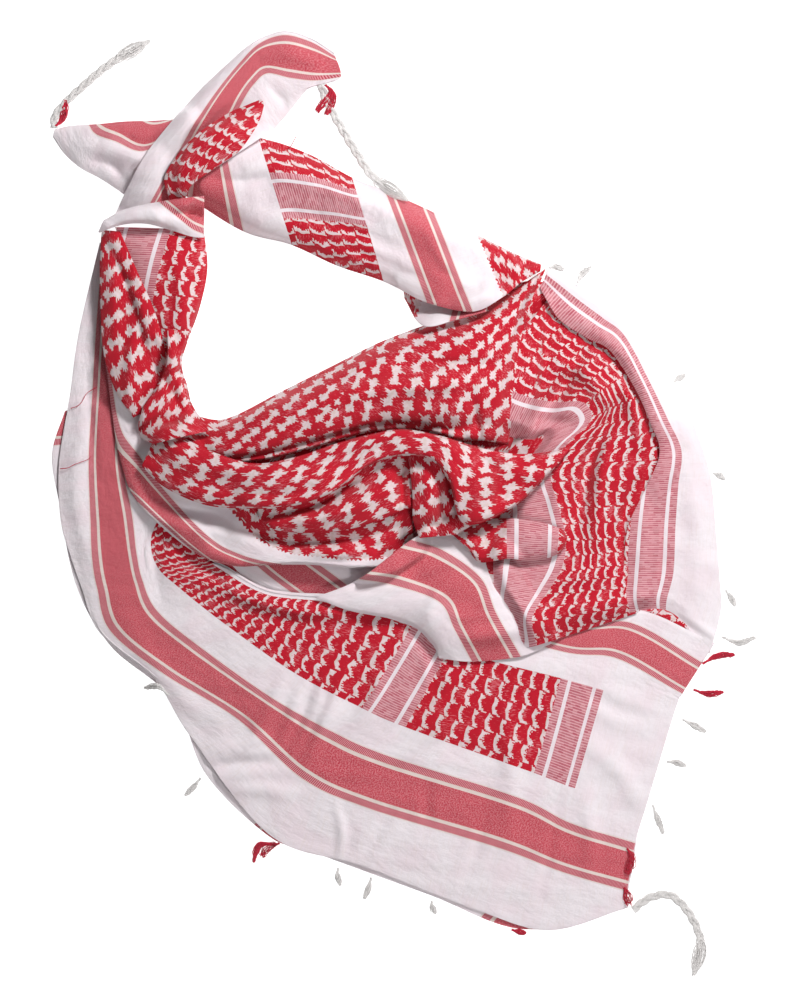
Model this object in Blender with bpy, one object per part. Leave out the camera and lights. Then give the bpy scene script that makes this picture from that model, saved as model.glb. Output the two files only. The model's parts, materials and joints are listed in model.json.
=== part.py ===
"""A square cotton keffiyeh, folded on its diagonal, knotted and laid on a surface.

Every stretch of cloth is a thin wall spread over what already lies beneath it. The stretches are made
from the bottom of the heap to its top, and each one is let down on a map of the heights reached so far.
"""

import math

import bpy
import numpy as np

CM = 0.01

# How the cloth is built, in metres.
WALL = 0.002
GAP = 0.0007
TASSEL_CLEAR = 0.0004
CELL = 0.002
DRAPE_REACH = 0.008
STEEPEST = 2.6

# The surface that the scarf lies on, as far as the height map reaches, in centimetres.
MAP_WEST, MAP_EAST = -44.0, 44.0
MAP_SOUTH, MAP_NORTH = -58.0, 58.0

RED = (0.58, 0.02, 0.05, 1.0)
PINK = (0.60, 0.14, 0.17, 1.0)
WHITE = (0.86, 0.82, 0.83, 1.0)

# A stretch arches from edge to edge as (1 - |across| ** ARCH_BREADTH) ** ARCH_DROP.
ARCH_BREADTH = 2.4
ARCH_DROP = 0.9

# The stretches, bottom first. A row is a section across the cloth: its points are named by "lines", in
# centimetres from the middle of the scarf, and its first number is how far it arches up between its edges.
# The first stretch lies under the heaps, and the others lie over them.
STRETCHES = {
    "side_panel": dict(
        lines=("hem", "band_outer", "band_inner", "inner"), cells=(14, 7), colour=WHITE,
        rows=(
            (0.2, (-34.9, 30.0), (-34.5, 30.0), (-34.1, 30.0), (-33.7, 30.0)),
            (0.5, (-37.3, 19.7), (-35.4, 19.5), (-34.4, 19.3), (-33.6, 19.0)),
            (0.7, (-38.4, 12.0), (-35.8, 12.5), (-33.4, 12.5), (-31.6, 12.5)),
            (0.7, (-39.6, 4.5), (-36.2, 5.0), (-32.3, 5.0), (-29.0, 5.5)),
            (0.5, (-39.4, -2.0), (-36.0, -2.0), (-31.2, -1.5), (-27.5, 0.0)),
            (0.4, (-38.3, -6.2), (-35.8, -6.3), (-30.7, -5.6), (-25.5, -2.3)),
        ),
    ),
    "shadow_pleat": dict(
        lines=("lower", "upper"), cells=(10, 4), colour=RED,
        rows=(
            (0.0, (-23.0, -8.0), (-21.0, -4.0)),
            (0.3, (-17.5, -10.5), (-15.0, -5.0)),
            (0.4, (-12.5, -11.8), (-10.0, -5.0)),
            (0.2, (-8.0, -12.5), (-4.5, -5.0)),
            (0.0, (-4.0, -12.0), (-1.0, -6.0)),
        ),
    ),
    "front_panel": dict(
        lines=("hem", "band_outer", "band_inner", "leaf_outer", "leaf_inner"), cells=(36, 11), colour=WHITE,
        rows=(
            (0.4, (-38.2, -6.4), (-35.8, -6.5), (-30.7, -5.8), (-29.6, -4.6), (-26.0, -2.6)),
            (0.4, (-37.0, -9.8), (-35.2, -10.0), (-30.0, -9.0), (-28.5, -7.6), (-23.5, -6.6)),
            (0.5, (-34.9, -15.0), (-33.7, -14.8), (-28.4, -12.4), (-25.8, -9.8), (-20.5, -8.0)),
            (0.5, (-28.6, -20.3), (-27.6, -19.7), (-24.0, -16.2), (-20.5, -14.0), (-15.3, -10.1)),
            (0.3, (-24.4, -27.0), (-19.0, -25.0), (-15.3, -22.4), (-12.4, -19.7), (-8.4, -11.2)),
            (0.3, (-15.2, -38.4), (-11.6, -31.8), (-8.2, -26.4), (-4.7, -23.7), (0.7, -13.6)),
            (0.3, (-4.6, -41.9), (-3.8, -35.3), (-1.8, -29.2), (0.3, -25.9), (6.0, -16.0)),
            (0.3, (8.6, -47.0), (11.0, -39.8), (13.2, -34.0), (14.9, -31.1), (18.6, -18.6)),
            (0.2, (17.0, -49.3), (18.4, -42.6), (19.4, -37.0), (20.4, -33.1), (24.8, -16.2)),
            (0.0, (26.0, -46.7), (25.9, -44.8), (26.8, -39.3), (28.2, -34.6), (34.6, -18.4)),
        ),
    ),
    "inner_panel": dict(
        lines=("fold_edge", "inner"), cells=(18, 5), colour=WHITE,
        rows=(
            (0.3, (-34.1, 16.0), (-31.0, 16.5)),
            (0.5, (-33.3, 9.5), (-28.5, 10.0)),
            (0.7, (-32.4, 4.8), (-26.0, 6.0)),
            (0.8, (-30.4, 0.0), (-23.0, 3.0)),
            (0.9, (-24.2, -5.5), (-18.0, 0.6)),
            (0.9, (-19.0, -7.3), (-14.5, -1.5)),
            (0.8, (-12.0, -6.9), (-10.0, -2.5)),
            (0.5, (-4.6, -7.3), (-4.5, -3.6)),
        ),
    ),
    "band_pleat": dict(
        lines=("lower", "band_outer", "band_inner", "upper"), cells=(11, 10), colour=PINK,
        rows=(
            (0.6, (-10.0, -10.9), (-5.0, -8.8), (1.0, -4.3), (5.0, -2.6)),
            (0.9, (-6.0, -12.4), (-1.0, -9.5), (4.8, -5.6), (7.6, -4.4)),
            (1.1, (0.5, -13.8), (4.2, -11.4), (9.0, -8.7), (11.6, -7.6)),
            (1.0, (3.4, -16.2), (6.0, -14.6), (10.8, -12.8), (14.2, -12.2)),
            (0.5, (4.3, -17.9), (8.0, -18.3), (13.6, -17.7), (17.2, -16.2)),
        ),
    ),
    "right_panel": dict(
        lines=("inner", "stripe", "field", "rim"), cells=(20, 9), colour=RED,
        rows=(
            (0.0, (11.5, 8.5), (12.5, 14.0), (14.2, 19.0), (16.6, 23.2)),
            (0.5, (13.5, 7.0), (16.0, 11.0), (18.4, 15.8), (21.5, 19.6)),
            (0.6, (14.5, 5.0), (21.5, 10.8), (23.8, 13.5), (27.0, 15.2)),
            (0.7, (15.5, 3.5), (21.8, 8.4), (25.4, 9.0), (30.0, 8.8)),
            (0.7, (15.0, 2.0), (19.4, 4.0), (24.0, 4.5), (30.4, 4.0)),
            (0.7, (14.0, 0.0), (17.9, 0.5), (22.3, 0.2), (28.6, 0.0)),
            (0.7, (13.0, -3.0), (18.4, -3.5), (22.0, -4.0), (28.0, -4.0)),
            (0.6, (9.6, -7.8), (18.5, -6.4), (22.2, -7.6), (28.0, -8.0)),
            (0.5, (11.8, -11.0), (16.4, -10.4), (21.2, -11.2), (27.4, -11.6)),
            (0.4, (13.4, -16.9), (16.2, -16.4), (20.4, -14.9), (26.6, -13.0)),
        ),
    ),
    "right_rim": dict(
        lines=("inner", "stripe_outer", "fringe"), cells=(20, 6), colour=WHITE,
        rows=(
            (0.0, (15.9, 24.8), (16.5, 26.0), (16.7, 26.8)),
            (0.6, (18.0, 21.3), (20.0, 23.4), (20.6, 24.7)),
            (0.8, (21.2, 19.1), (23.2, 21.3), (24.2, 22.3)),
            (0.9, (24.0, 17.5), (25.7, 19.2), (26.8, 19.5)),
            (1.0, (26.8, 13.0), (28.7, 14.2), (29.9, 15.2)),
            (1.0, (28.5, 8.8), (31.0, 9.6), (33.0, 10.0)),
            (0.9, (29.6, 4.8), (32.6, 6.0), (34.6, 6.2)),
            (0.7, (28.1, 1.8), (32.3, 2.0), (35.6, 2.3)),
            (0.5, (26.4, -3.0), (32.0, -3.0), (36.1, -3.0)),
            (0.4, (25.9, -8.0), (31.8, -8.0), (36.5, -8.0)),
            (0.3, (25.7, -12.2), (30.8, -12.8), (36.7, -12.4)),
            (0.1, (26.4, -13.8), (31.0, -15.6), (35.4, -17.2)),
        ),
    ),
    "cross_roll": dict(
        lines=("upper", "lower"), cells=(12, 6), colour=PINK,
        rows=(
            (0.5, (5.0, -3.0), (7.2, -6.6)),
            (1.1, (8.4, -2.2), (9.0, -7.8)),
            (1.3, (12.0, -2.0), (12.0, -6.2)),
            (1.3, (15.2, -2.2), (15.3, -6.3)),
            (1.0, (18.0, -2.8), (18.0, -5.8)),
            (0.5, (19.0, -3.8), (18.9, -4.9)),
        ),
    ),
    "third_fold": dict(
        lines=("upper", "lower"), cells=(14, 6), colour=RED,
        rows=(
            (0.4, (-16.8, 0.5), (-20.0, -1.0)),
            (1.0, (-15.5, 0.0), (-18.0, -4.2)),
            (1.3, (-12.5, 0.0), (-14.0, -6.2)),
            (1.4, (-9.0, 0.0), (-9.6, -6.5)),
            (1.5, (-5.0, 0.0), (-5.2, -6.9)),
            (1.3, (-2.0, 1.0), (-1.6, -6.2)),
            (0.8, (0.8, 2.0), (1.2, -4.0)),
        ),
    ),
    "second_fold": dict(
        lines=("upper", "lower"), cells=(14, 6), colour=RED,
        rows=(
            (0.4, (-17.0, 2.0), (-16.4, -1.8)),
            (1.0, (-13.5, 2.4), (-14.4, -3.1)),
            (1.3, (-9.5, 3.4), (-10.0, -3.4)),
            (1.5, (-5.5, 5.0), (-5.8, -2.9)),
            (1.5, (-2.5, 7.0), (-2.0, -1.7)),
            (1.0, (0.4, 7.4), (0.6, -0.6)),
        ),
    ),
    "middle_fold": dict(
        lines=("left", "right"), cells=(9, 6), colour=RED,
        rows=(
            (0.6, (0.4, 7.2), (6.0, 7.0)),
            (1.2, (0.9, 4.0), (7.6, 4.4)),
            (1.4, (1.2, 1.0), (8.4, 1.4)),
            (1.3, (1.3, -2.0), (8.4, -2.0)),
            (0.6, (2.0, -4.0), (6.4, -3.6)),
        ),
    ),
    "top_roll": dict(
        lines=("neckline", "middle", "valley"), cells=(20, 10), colour=RED,
        rows=(
            (0.6, (-24.3, 10.0), (-25.0, 8.2), (-25.4, 6.4)),
            (1.2, (-20.3, 9.6), (-21.0, 7.0), (-21.4, 4.8)),
            (1.6, (-14.0, 12.7), (-15.4, 8.4), (-16.0, 4.0)),
            (1.8, (-8.4, 15.5), (-9.6, 10.4), (-9.8, 5.4)),
            (1.9, (-2.6, 18.4), (-3.6, 12.6), (-3.6, 7.0)),
            (1.9, (3.0, 20.5), (2.4, 14.0), (2.2, 7.0)),
            (1.8, (8.6, 22.2), (7.8, 14.4), (7.4, 6.0)),
            (1.5, (12.8, 24.4), (11.4, 16.0), (10.0, 7.0)),
            (0.7, (16.5, 26.9), (14.8, 18.6), (12.2, 10.4)),
        ),
    ),
    "main_swag": dict(
        lines=("valley", "fold_edge"), cells=(24, 7), colour=RED,
        rows=(
            (0.5, (-28.6, 7.0), (-29.9, 4.2)),
            (1.1, (-26.0, 8.0), (-27.4, 1.9)),
            (1.4, (-22.0, 6.6), (-23.0, -0.1)),
            (1.5, (-17.0, 5.4), (-18.4, -0.6)),
            (1.5, (-12.0, 6.2), (-13.0, -0.4)),
            (1.4, (-7.8, 7.6), (-8.0, 1.3)),
            (1.2, (-3.8, 8.8), (-3.8, 4.3)),
            (1.2, (0.0, 9.4), (-0.2, 5.4)),
            (1.4, (4.2, 8.6), (3.2, 5.0)),
            (1.7, (8.2, 7.2), (5.4, 2.4)),
            (1.9, (12.0, 6.2), (7.2, -2.4)),
            (1.6, (16.0, 6.2), (12.6, -0.2)),
            (0.7, (19.8, 6.5), (18.0, 4.2)),
        ),
    ),
    "left_arm_outer": dict(
        lines=("outer", "diagonal"), cells=(14, 6), colour=RED,
        rows=(
            (0.5, (-34.6, 31.4), (-32.6, 31.2)),
            (0.9, (-34.8, 27.0), (-30.6, 26.6)),
            (1.1, (-34.7, 22.0), (-28.6, 22.0)),
            (1.1, (-34.4, 17.5), (-27.4, 17.5)),
            (0.9, (-33.0, 13.0), (-27.6, 14.0)),
            (0.4, (-30.9, 9.8), (-29.4, 10.6)),
        ),
    ),
    "left_arm_inner": dict(
        lines=("diagonal", "outer"), cells=(13, 7), colour=PINK,
        rows=(
            (0.6, (-33.2, 31.8), (-23.0, 31.4)),
            (1.1, (-31.2, 27.4), (-22.6, 27.0)),
            (1.2, (-29.4, 23.0), (-23.4, 22.8)),
            (1.0, (-28.4, 19.4), (-24.8, 18.8)),
            (0.5, (-27.8, 16.8), (-25.6, 16.4)),
        ),
    ),
    "left_arm_lower": dict(
        lines=("fold", "outer"), cells=(12, 6), colour=RED,
        rows=(
            (0.5, (-27.8, 20.0), (-24.6, 19.6)),
            (1.0, (-28.4, 16.6), (-25.5, 16.0)),
            (1.3, (-29.6, 13.2), (-24.9, 13.4)),
            (1.3, (-30.6, 10.4), (-24.4, 11.4)),
            (1.0, (-30.2, 7.8), (-23.2, 9.6)),
            (0.5, (-28.6, 6.8), (-21.8, 8.4)),
        ),
    ),
    "arm_flap": dict(
        lines=("lower", "upper"), cells=(8, 5), colour=PINK,
        rows=(
            (0.3, (0.3, 23.6), (0.2, 25.6)),
            (0.6, (2.4, 20.4), (4.0, 25.0)),
            (0.6, (6.0, 21.0), (7.0, 24.4)),
            (0.3, (9.6, 22.0), (10.0, 24.6)),
        ),
    ),
    "tail_end": dict(
        lines=("upper", "band", "lower"), cells=(12, 7), colour=WHITE,
        rows=(
            (1.4, (-24.6, 44.3), (-26.8, 40.6), (-29.6, 33.6)),
            (1.5, (-28.6, 44.0), (-30.2, 40.5), (-32.4, 35.8)),
            (1.4, (-32.0, 43.9), (-33.0, 41.6), (-34.8, 37.4)),
            (1.1, (-35.2, 43.6), (-36.0, 42.0), (-37.2, 38.7)),
            (0.7, (-38.4, 43.4), (-38.7, 42.2), (-39.0, 40.3)),
            (0.3, (-40.1, 43.0), (-40.2, 42.6), (-40.3, 42.2)),
        ),
    ),
    "right_arm": dict(
        lines=("upper", "lower"), cells=(24, 8), colour=PINK,
        rows=(
            (0.9, (-24.0, 39.5), (-25.2, 35.6)),
            (1.0, (-20.6, 41.4), (-18.4, 31.4)),
            (1.1, (-16.6, 42.0), (-12.8, 29.8)),
            (1.1, (-11.0, 40.2), (-7.5, 27.4)),
            (1.1, (-5.8, 37.4), (-2.2, 25.6)),
            (1.2, (-2.0, 35.9), (2.8, 23.1)),
            (1.3, (3.6, 33.4), (8.0, 22.0)),
            (1.2, (8.6, 30.8), (11.5, 23.7)),
            (0.9, (12.6, 28.8), (13.6, 25.4)),
            (0.4, (15.9, 27.4), (15.8, 26.7)),
        ),
    ),
    "left_end": dict(
        lines=("outer", "band_outer", "band_inner", "inner"), cells=(20, 9), colour=PINK,
        rows=(
            (0.9, (-33.6, 32.2), (-30.6, 32.4), (-28.6, 32.6), (-26.4, 33.0)),
            (1.2, (-32.0, 35.5), (-28.5, 36.0), (-26.6, 36.3), (-24.4, 36.8)),
            (1.3, (-29.6, 40.2), (-26.2, 39.8), (-24.0, 39.2), (-20.6, 38.8)),
            (1.3, (-26.5, 44.0), (-23.8, 43.6), (-21.0, 42.4), (-16.8, 41.4)),
            (1.1, (-23.9, 47.4), (-21.4, 47.0), (-18.7, 45.8), (-14.9, 43.2)),
            (0.9, (-20.4, 51.0), (-18.6, 50.5), (-17.2, 48.3), (-13.1, 45.3)),
            (0.7, (-17.0, 53.5), (-16.2, 52.7), (-15.4, 49.8), (-12.4, 46.6)),
            (0.6, (-13.3, 54.5), (-13.1, 53.6), (-13.0, 49.9), (-11.8, 47.6)),
            (0.4, (-10.4, 53.7), (-10.4, 52.9), (-10.6, 49.6), (-10.8, 48.3)),
            (0.1, (-8.0, 52.0), (-7.7, 51.2), (-7.4, 49.2), (-9.6, 48.3)),
        ),
    ),
    "knot_leaf": dict(
        lines=("outer", "inner"), cells=(12, 6), colour=RED,
        rows=(
            (0.3, (-26.4, 34.8), (-25.2, 35.0)),
            (0.8, (-27.0, 37.4), (-24.0, 36.8)),
            (0.9, (-25.2, 40.2), (-21.2, 38.8)),
            (0.8, (-22.4, 42.6), (-19.2, 40.9)),
            (0.6, (-19.2, 44.8), (-17.4, 43.4)),
            (0.2, (-16.2, 46.2), (-15.8, 45.6)),
        ),
    ),
    "knot_loop": dict(
        lines=("upper", "lower"), cells=(12, 7), colour=WHITE,
        rows=(
            (0.5, (-33.9, 33.0), (-34.5, 31.3)),
            (1.0, (-31.6, 34.0), (-31.8, 32.0)),
            (1.2, (-29.0, 34.4), (-29.2, 31.9)),
            (1.3, (-26.4, 34.8), (-26.4, 31.0)),
            (1.0, (-24.2, 35.2), (-24.3, 30.7)),
            (0.4, (-22.8, 35.4), (-22.9, 31.0)),
        ),
    ),
}

# The hidden layers under each heap: sections of one rounded solid, and the height each one reaches. Its sides
# are cut into ledges, like stacked cloth: slopes, widths and the dome's corners are shares of its width.
HEAPS = {
    "left_arm_layers": dict(
        cells=8,
        rows=(
            (1.2, (-33.1, 30.6), (-24.2, 30.6)),
            (1.5, (-33.2, 25.0), (-23.8, 25.0)),
            (1.5, (-32.8, 19.0), (-25.8, 18.6)),
            (1.5, (-30.8, 13.4), (-26.2, 13.6)),
            (1.0, (-28.6, 10.2), (-25.4, 10.8)),
        ),
    ),
    "cowl_layers": dict(
        cells=14,
        rows=(
            (0.8, (-27.2, 4.6), (-26.2, 6.6)),
            (1.9, (-22.6, 1.4), (-21.6, 7.6)),
            (2.5, (-15.0, -2.4), (-13.2, 10.8)),
            (2.8, (-6.0, -4.0), (-3.6, 15.4)),
            (2.8, (2.6, -1.6), (5.0, 18.2)),
            (2.4, (9.4, 1.6), (11.0, 21.4)),
            (1.7, (13.2, 8.0), (13.8, 23.0)),
            (0.8, (14.6, 15.0), (15.0, 23.0)),
        ),
    ),
    "right_arm_layers": dict(
        cells=10,
        rows=(
            (1.2, (-22.6, 36.2), (-21.4, 39.4)),
            (1.6, (-16.4, 32.4), (-17.0, 39.8)),
            (1.6, (-9.4, 29.8), (-10.8, 38.2)),
            (1.7, (-1.0, 26.9), (-2.4, 34.4)),
            (1.7, (6.2, 24.0), (5.2, 30.8)),
            (1.0, (12.4, 26.0), (11.6, 28.2)),
        ),
    ),
}
HEAP_BREADTH = 2.6
HEAP_DROP = 0.75
LAYER_EDGES = 2
LAYER_STEP = 0.25
LEDGE_SLOPE = 0.01
LEDGE_WIDTH = 0.02
DOME = (0.1, 0.2, 0.3, 0.4, 0.5)

# The under half of the square, whose underside is the flat face that the scarf rests on.
BACK_PANEL = (
    ((-38.9, 10.6), (-37.8, 10.8)),
    ((-40.4, 5.6), (-25.0, 8.0)),
    ((-39.6, 0.0), (-15.0, 11.6)),
    ((-37.6, -9.6), (-5.0, 16.4)),
    ((-33.6, -16.6), (5.0, 20.0)),
    ((-26.4, -22.8), (15.4, 25.6)),
    ((-22.6, -31.4), (26.0, 18.0)),
    ((-10.4, -40.3), (34.2, 4.0)),
    ((3.0, -45.2), (35.8, -12.0)),
    ((14.0, -49.2), (31.6, -22.6)),
    ((25.6, -46.9), (27.4, -36.0)),
)

# Creases pressed into a stretch: where each one runs, how wide it is and how high it stands.
CREASES = {
    "front_panel": (
        ((-24.0, -31.2), (-18.0, -30.2), (-11.5, -28.6), 2.4, -0.35),
        ((-30.0, -14.0), (-20.0, -19.5), (-13.0, -26.0), 2.6, 0.5),
        ((-20.5, -10.5), (-14.0, -14.5), (-6.0, -18.0), 2.4, 0.5),
        ((-10.0, -24.0), (-6.0, -30.0), (-8.0, -38.0), 3.0, 0.45),
        ((2.0, -28.0), (3.0, -36.0), (6.0, -44.0), 3.2, 0.45),
        ((12.0, -21.0), (14.0, -29.0), (13.0, -42.0), 3.0, 0.35),
    ),
    "right_panel": (
        ((15.0, 15.0), (21.0, 14.5), (24.0, 10.0), 1.8, 0.6),
        ((20.5, 8.0), (21.0, 0.0), (20.5, -8.0), 1.6, 0.7),
        ((25.5, 3.0), (24.5, -3.0), (24.5, -10.0), 1.6, 0.4),
    ),
    "right_arm": (
        ((-19.0, 36.0), (-8.0, 33.0), (4.0, 29.0), 2.0, 0.5),
        ((-12.0, 31.5), (-4.0, 28.5), (4.0, 25.0), 1.4, -0.4),
    ),
    "top_roll": (
        ((-20.0, 7.0), (-6.0, 12.0), (8.0, 16.0), 2.4, 0.7),
        ((-4.0, 15.0), (4.0, 17.6), (12.0, 20.0), 1.6, -0.4),
        ((9.0, 13.0), (11.0, 10.0), (13.0, 8.0), 1.2, -0.5),
    ),
    "left_end": (
        ((-29.0, 37.5), (-23.0, 43.0), (-17.5, 47.6), 1.3, -0.7),
        ((-18.0, 50.6), (-14.0, 52.4), (-10.0, 51.0), 1.6, 0.4),
    ),
    "left_arm_outer": (
        ((-30.4, 20.0), (-29.4, 16.0), (-30.4, 12.4), 1.2, -0.9),
    ),
    "tail_end": (
        ((-38.0, 41.6), (-32.0, 40.2), (-27.0, 38.0), 1.6, 0.5),
    ),
}

CREASE_POINTS = 25

# Tassels: colour, then where each one leaves the edge, bends and ends.
TASSEL_STRANDS = 3
TASSEL_RADII = (0.10, 0.17, 0.17, 0.14)
TASSEL_FAN = 0.16
CLIMB = 0.7
# Where a strand bends and ends, as shares of its length, with its thickness and how far it fans out.
STRAND_BENDS = (dict(share=0.45, size=0.8, fan=2.0), dict(share=1.0, size=0.55, fan=3.2))
TASSELS = {
    "edge_tassel_01": (WHITE, (16.9, 27.1), (17.6, 27.2), (18.6, 26.9)),
    "edge_tassel_02": (WHITE, (20.2, 25.3), (20.7, 26.3), (21.7, 27.2)),
    "edge_tassel_03": (WHITE, (31.3, 13.9), (31.8, 14.3), (32.6, 14.7)),
    "edge_tassel_04": (WHITE, (35.8, 3.4), (36.4, 3.2), (37.2, 2.7)),
    "edge_tassel_05": (WHITE, (37.3, -10.1), (37.8, -10.8), (38.4, -11.9)),
    "edge_tassel_06": (WHITE, (36.9, -15.5), (38.8, -16.2), (40.7, -15.6)),
    "edge_tassel_07": (RED, (34.6, -18.6), (36.4, -17.7), (38.3, -17.6)),
    "edge_tassel_08": (RED, (33.6, -21.6), (35.2, -22.1), (37.0, -21.9)),
    "edge_tassel_09": (WHITE, (32.3, -25.0), (33.4, -25.6), (35.0, -26.5)),
    "edge_tassel_10": (WHITE, (30.5, -29.9), (31.5, -30.0), (32.7, -30.4)),
    "edge_tassel_11": (WHITE, (28.9, -34.9), (29.4, -36.4), (30.1, -38.2)),
    "edge_tassel_12": (WHITE, (-27.0, -22.2), (-28.2, -21.2), (-29.8, -21.4)),
    "edge_tassel_13": (WHITE, (-23.3, -31.8), (-24.1, -32.8), (-25.1, -33.8)),
    "edge_tassel_14": (RED, (-14.6, -39.4), (-16.6, -39.6), (-17.2, -41.5)),
    "edge_tassel_15": (WHITE, (-7.4, -42.2), (-7.5, -43.0), (-7.2, -44.2)),
    "edge_tassel_16": (WHITE, (-3.6, -43.3), (-3.9, -44.4), (-4.4, -45.7)),
    "edge_tassel_17": (WHITE, (3.4, -46.0), (3.4, -46.6), (3.9, -47.4)),
    "edge_tassel_18": (RED, (12.6, -49.3), (13.2, -49.5), (14.2, -49.7)),
}

# Corner braids: the cord's thickness, its route and where its tassel ends.
BRAIDS = {
    "corner_braid_1": dict(
        thick=0.5,
        route=((-40.4, 43.6), (-40.5, 44.9), (-39.4, 45.6), (-37.6, 47.4), (-33.6, 50.8)),
        tip=(-29.2, 53.3),
    ),
    "corner_braid_2": dict(
        thick=0.5,
        route=((-9.4, 47.6), (-8.9, 46.2), (-7.6, 44.0), (-5.2, 40.0), (-3.0, 37.0)),
        tip=(0.4, 34.8),
    ),
    "corner_braid_3": dict(
        thick=0.4,
        route=((26.9, -46.6), (29.0, -45.5), (31.2, -45.8), (33.4, -48.2), (34.3, -51.2)),
        tip=(33.7, -54.7),
    ),
}
BRAID_RINGS = 15
BRAID_NECK = 0.7
BRAID_HEAD = (1.0, 1.35, 1.2)


def spline(values, count):
    """Points spread evenly along a smooth curve through the given ones."""
    values = np.asarray(values, float)
    last = len(values) - 1
    if last == 1:
        share = np.linspace(0.0, 1.0, count).reshape((count,) + (1,) * (values.ndim - 1))
        return values[0] * (1.0 - share) + values[1] * share
    padded = np.concatenate([[2 * values[0] - values[1]], values, [2 * values[-1] - values[-2]]])
    place = np.linspace(0.0, last, count)
    start = np.minimum(place.astype(int), last - 1)
    t = (place - start).reshape((count,) + (1,) * (values.ndim - 1))
    a, b, c, d = (padded[start + step] for step in range(4))
    return 0.5 * (2 * b + (c - a) * t + (2 * a - 5 * b + 4 * c - d) * t**2 + (3 * b - a - 3 * c + d) * t**3)


def spread(rows, cells):
    """A grid of points, in metres, over the net of section points, with its sections' rises."""
    net = np.array([row[1:] for row in rows], float)
    along = spline(net, cells[0] + 1)
    grid = spline(along.transpose(1, 0, 2), cells[1] + 1).transpose(1, 0, 2)
    rise = spline([row[0] for row in rows], cells[0] + 1)
    return grid * CM, np.maximum(rise, 0.0) * CM


def arch(count):
    """The height of a section from edge to edge, which drops quickly at both."""
    across = np.linspace(-1.0, 1.0, count)
    return (1.0 - np.abs(across) ** ARCH_BREADTH) ** ARCH_DROP


def refined(grid, height, steps):
    """Points inside each cell of a grid, on the two triangles that the cell is cut into."""
    share = (np.arange(steps) + 0.5) / steps
    s, t = np.meshgrid(share, share, indexing="ij")
    field = np.concatenate([grid, height[..., None]], axis=2)[:, :, None, None, :]
    a, b = field[:-1, :-1], field[1:, :-1]
    c, d = field[1:, 1:], field[:-1, 1:]
    s, t = s[..., None], t[..., None]
    first = a + s * (b - a) + t * (c - b)
    second = a + t * (d - a) + s * (c - d)
    return np.where(s >= t, first, second)


def steps_for(grid):
    """How finely a grid's cells are cut so that no cell of the map is missed."""
    longest = max(np.linalg.norm(np.diff(grid, axis=axis), axis=2).max() for axis in (0, 1))
    return max(2, math.ceil(longest / (0.7 * CELL)))


class Heap:
    """The greatest height reached so far over each cell of the surface."""

    def __init__(self):
        self.west, self.south = MAP_WEST * CM, MAP_SOUTH * CM
        across = round((MAP_EAST - MAP_WEST) * CM / CELL)
        up = round((MAP_NORTH - MAP_SOUTH) * CM / CELL)
        self.top = np.full((across, up), -GAP)

    def cell(self, points):
        i = ((points[..., 0] - self.west) / CELL).astype(int)
        j = ((points[..., 1] - self.south) / CELL).astype(int)
        return np.clip(i, 0, self.top.shape[0] - 1), np.clip(j, 0, self.top.shape[1] - 1)

    def spread_out(self, reach):
        """The map with each cell as high as the highest within reach of it."""
        size = round(reach / CELL)
        wide = np.pad(self.top, size, mode="edge")
        best = self.top.copy()
        width, length = self.top.shape
        for i in range(-size, size + 1):
            for j in range(-size, size + 1):
                if i * i + j * j <= size * size + 1:
                    best = np.maximum(best, wide[size + i : size + i + width, size + j : size + j + length])
        return best

    def above(self, place, reach):
        """The greatest height within reach of one place."""
        i, j = self.cell(np.asarray(place))
        size = round(reach / CELL)
        return self.top[max(0, i - size) : i + size + 1, max(0, j - size) : j + size + 1].max()

    def softened(self, reach):
        """A smooth surface that clears the heap."""
        size = round(reach / CELL)
        smooth = self.spread_out(2 * reach)
        for axis in (0, 1):
            for _ in range(2):
                half = size // 2
                margins = [(half, half) if axis == k else (0, 0) for k in (0, 1)]
                wide = np.pad(smooth, margins, mode="edge")
                span = smooth.shape[axis]
                smooth = sum(np.take(wide, np.arange(k, k + span), axis=axis) for k in range(2 * half + 1))
                smooth = smooth / (2 * half + 1)
        return smooth

    def add(self, grid, top):
        points = refined(grid, top, steps_for(grid))
        np.maximum.at(self.top, self.cell(points), points[..., 2])


def pressed(name, grid):
    """How far the creases of a stretch move each of its points up or down."""
    moved = np.zeros(grid.shape[:2])
    for first, middle, last, width, height in CREASES.get(name, ()):
        route = spline([first, middle, last], CREASE_POINTS) * CM
        away = np.linalg.norm(grid[:, :, None, :] - route[None, None, :, :], axis=3)
        along = (away.argmin(axis=2) + 1) / (CREASE_POINTS + 1)
        fade = np.sin(np.pi * along)
        moved += height * CM * fade * np.exp(-((away.min(axis=2) / (0.5 * width * CM)) ** 2))
    return moved


def settled(grid, bottom, heap):
    """Raises the cells of a grid that would cut into the heap."""
    floor = heap.spread_out(1.5 * CELL) + GAP
    steps = steps_for(grid)
    for _ in range(20):
        points = refined(grid, bottom, steps)
        short = (floor[heap.cell(points)] - points[..., 2]).max(axis=(2, 3))
        if short.max() <= 0.0:
            break
        lift = np.zeros(bottom.shape)
        for rows in (slice(0, -1), slice(1, None)):
            for columns in (slice(0, -1), slice(1, None)):
                lift[rows, columns] = np.maximum(lift[rows, columns], short)
        bottom = bottom + np.maximum(lift, 0.0)
    return bottom


def steepness(grid, height):
    """How much longer than its thickness a wall's upright cut is, at each point of a grid."""
    field = np.concatenate([grid, height[..., None]], axis=2)
    normal = np.cross(np.gradient(field, axis=0), np.gradient(field, axis=1))
    length = np.linalg.norm(normal, axis=2)
    return np.minimum(length / np.maximum(np.abs(normal[..., 2]), 1e-12), STEEPEST)


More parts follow.
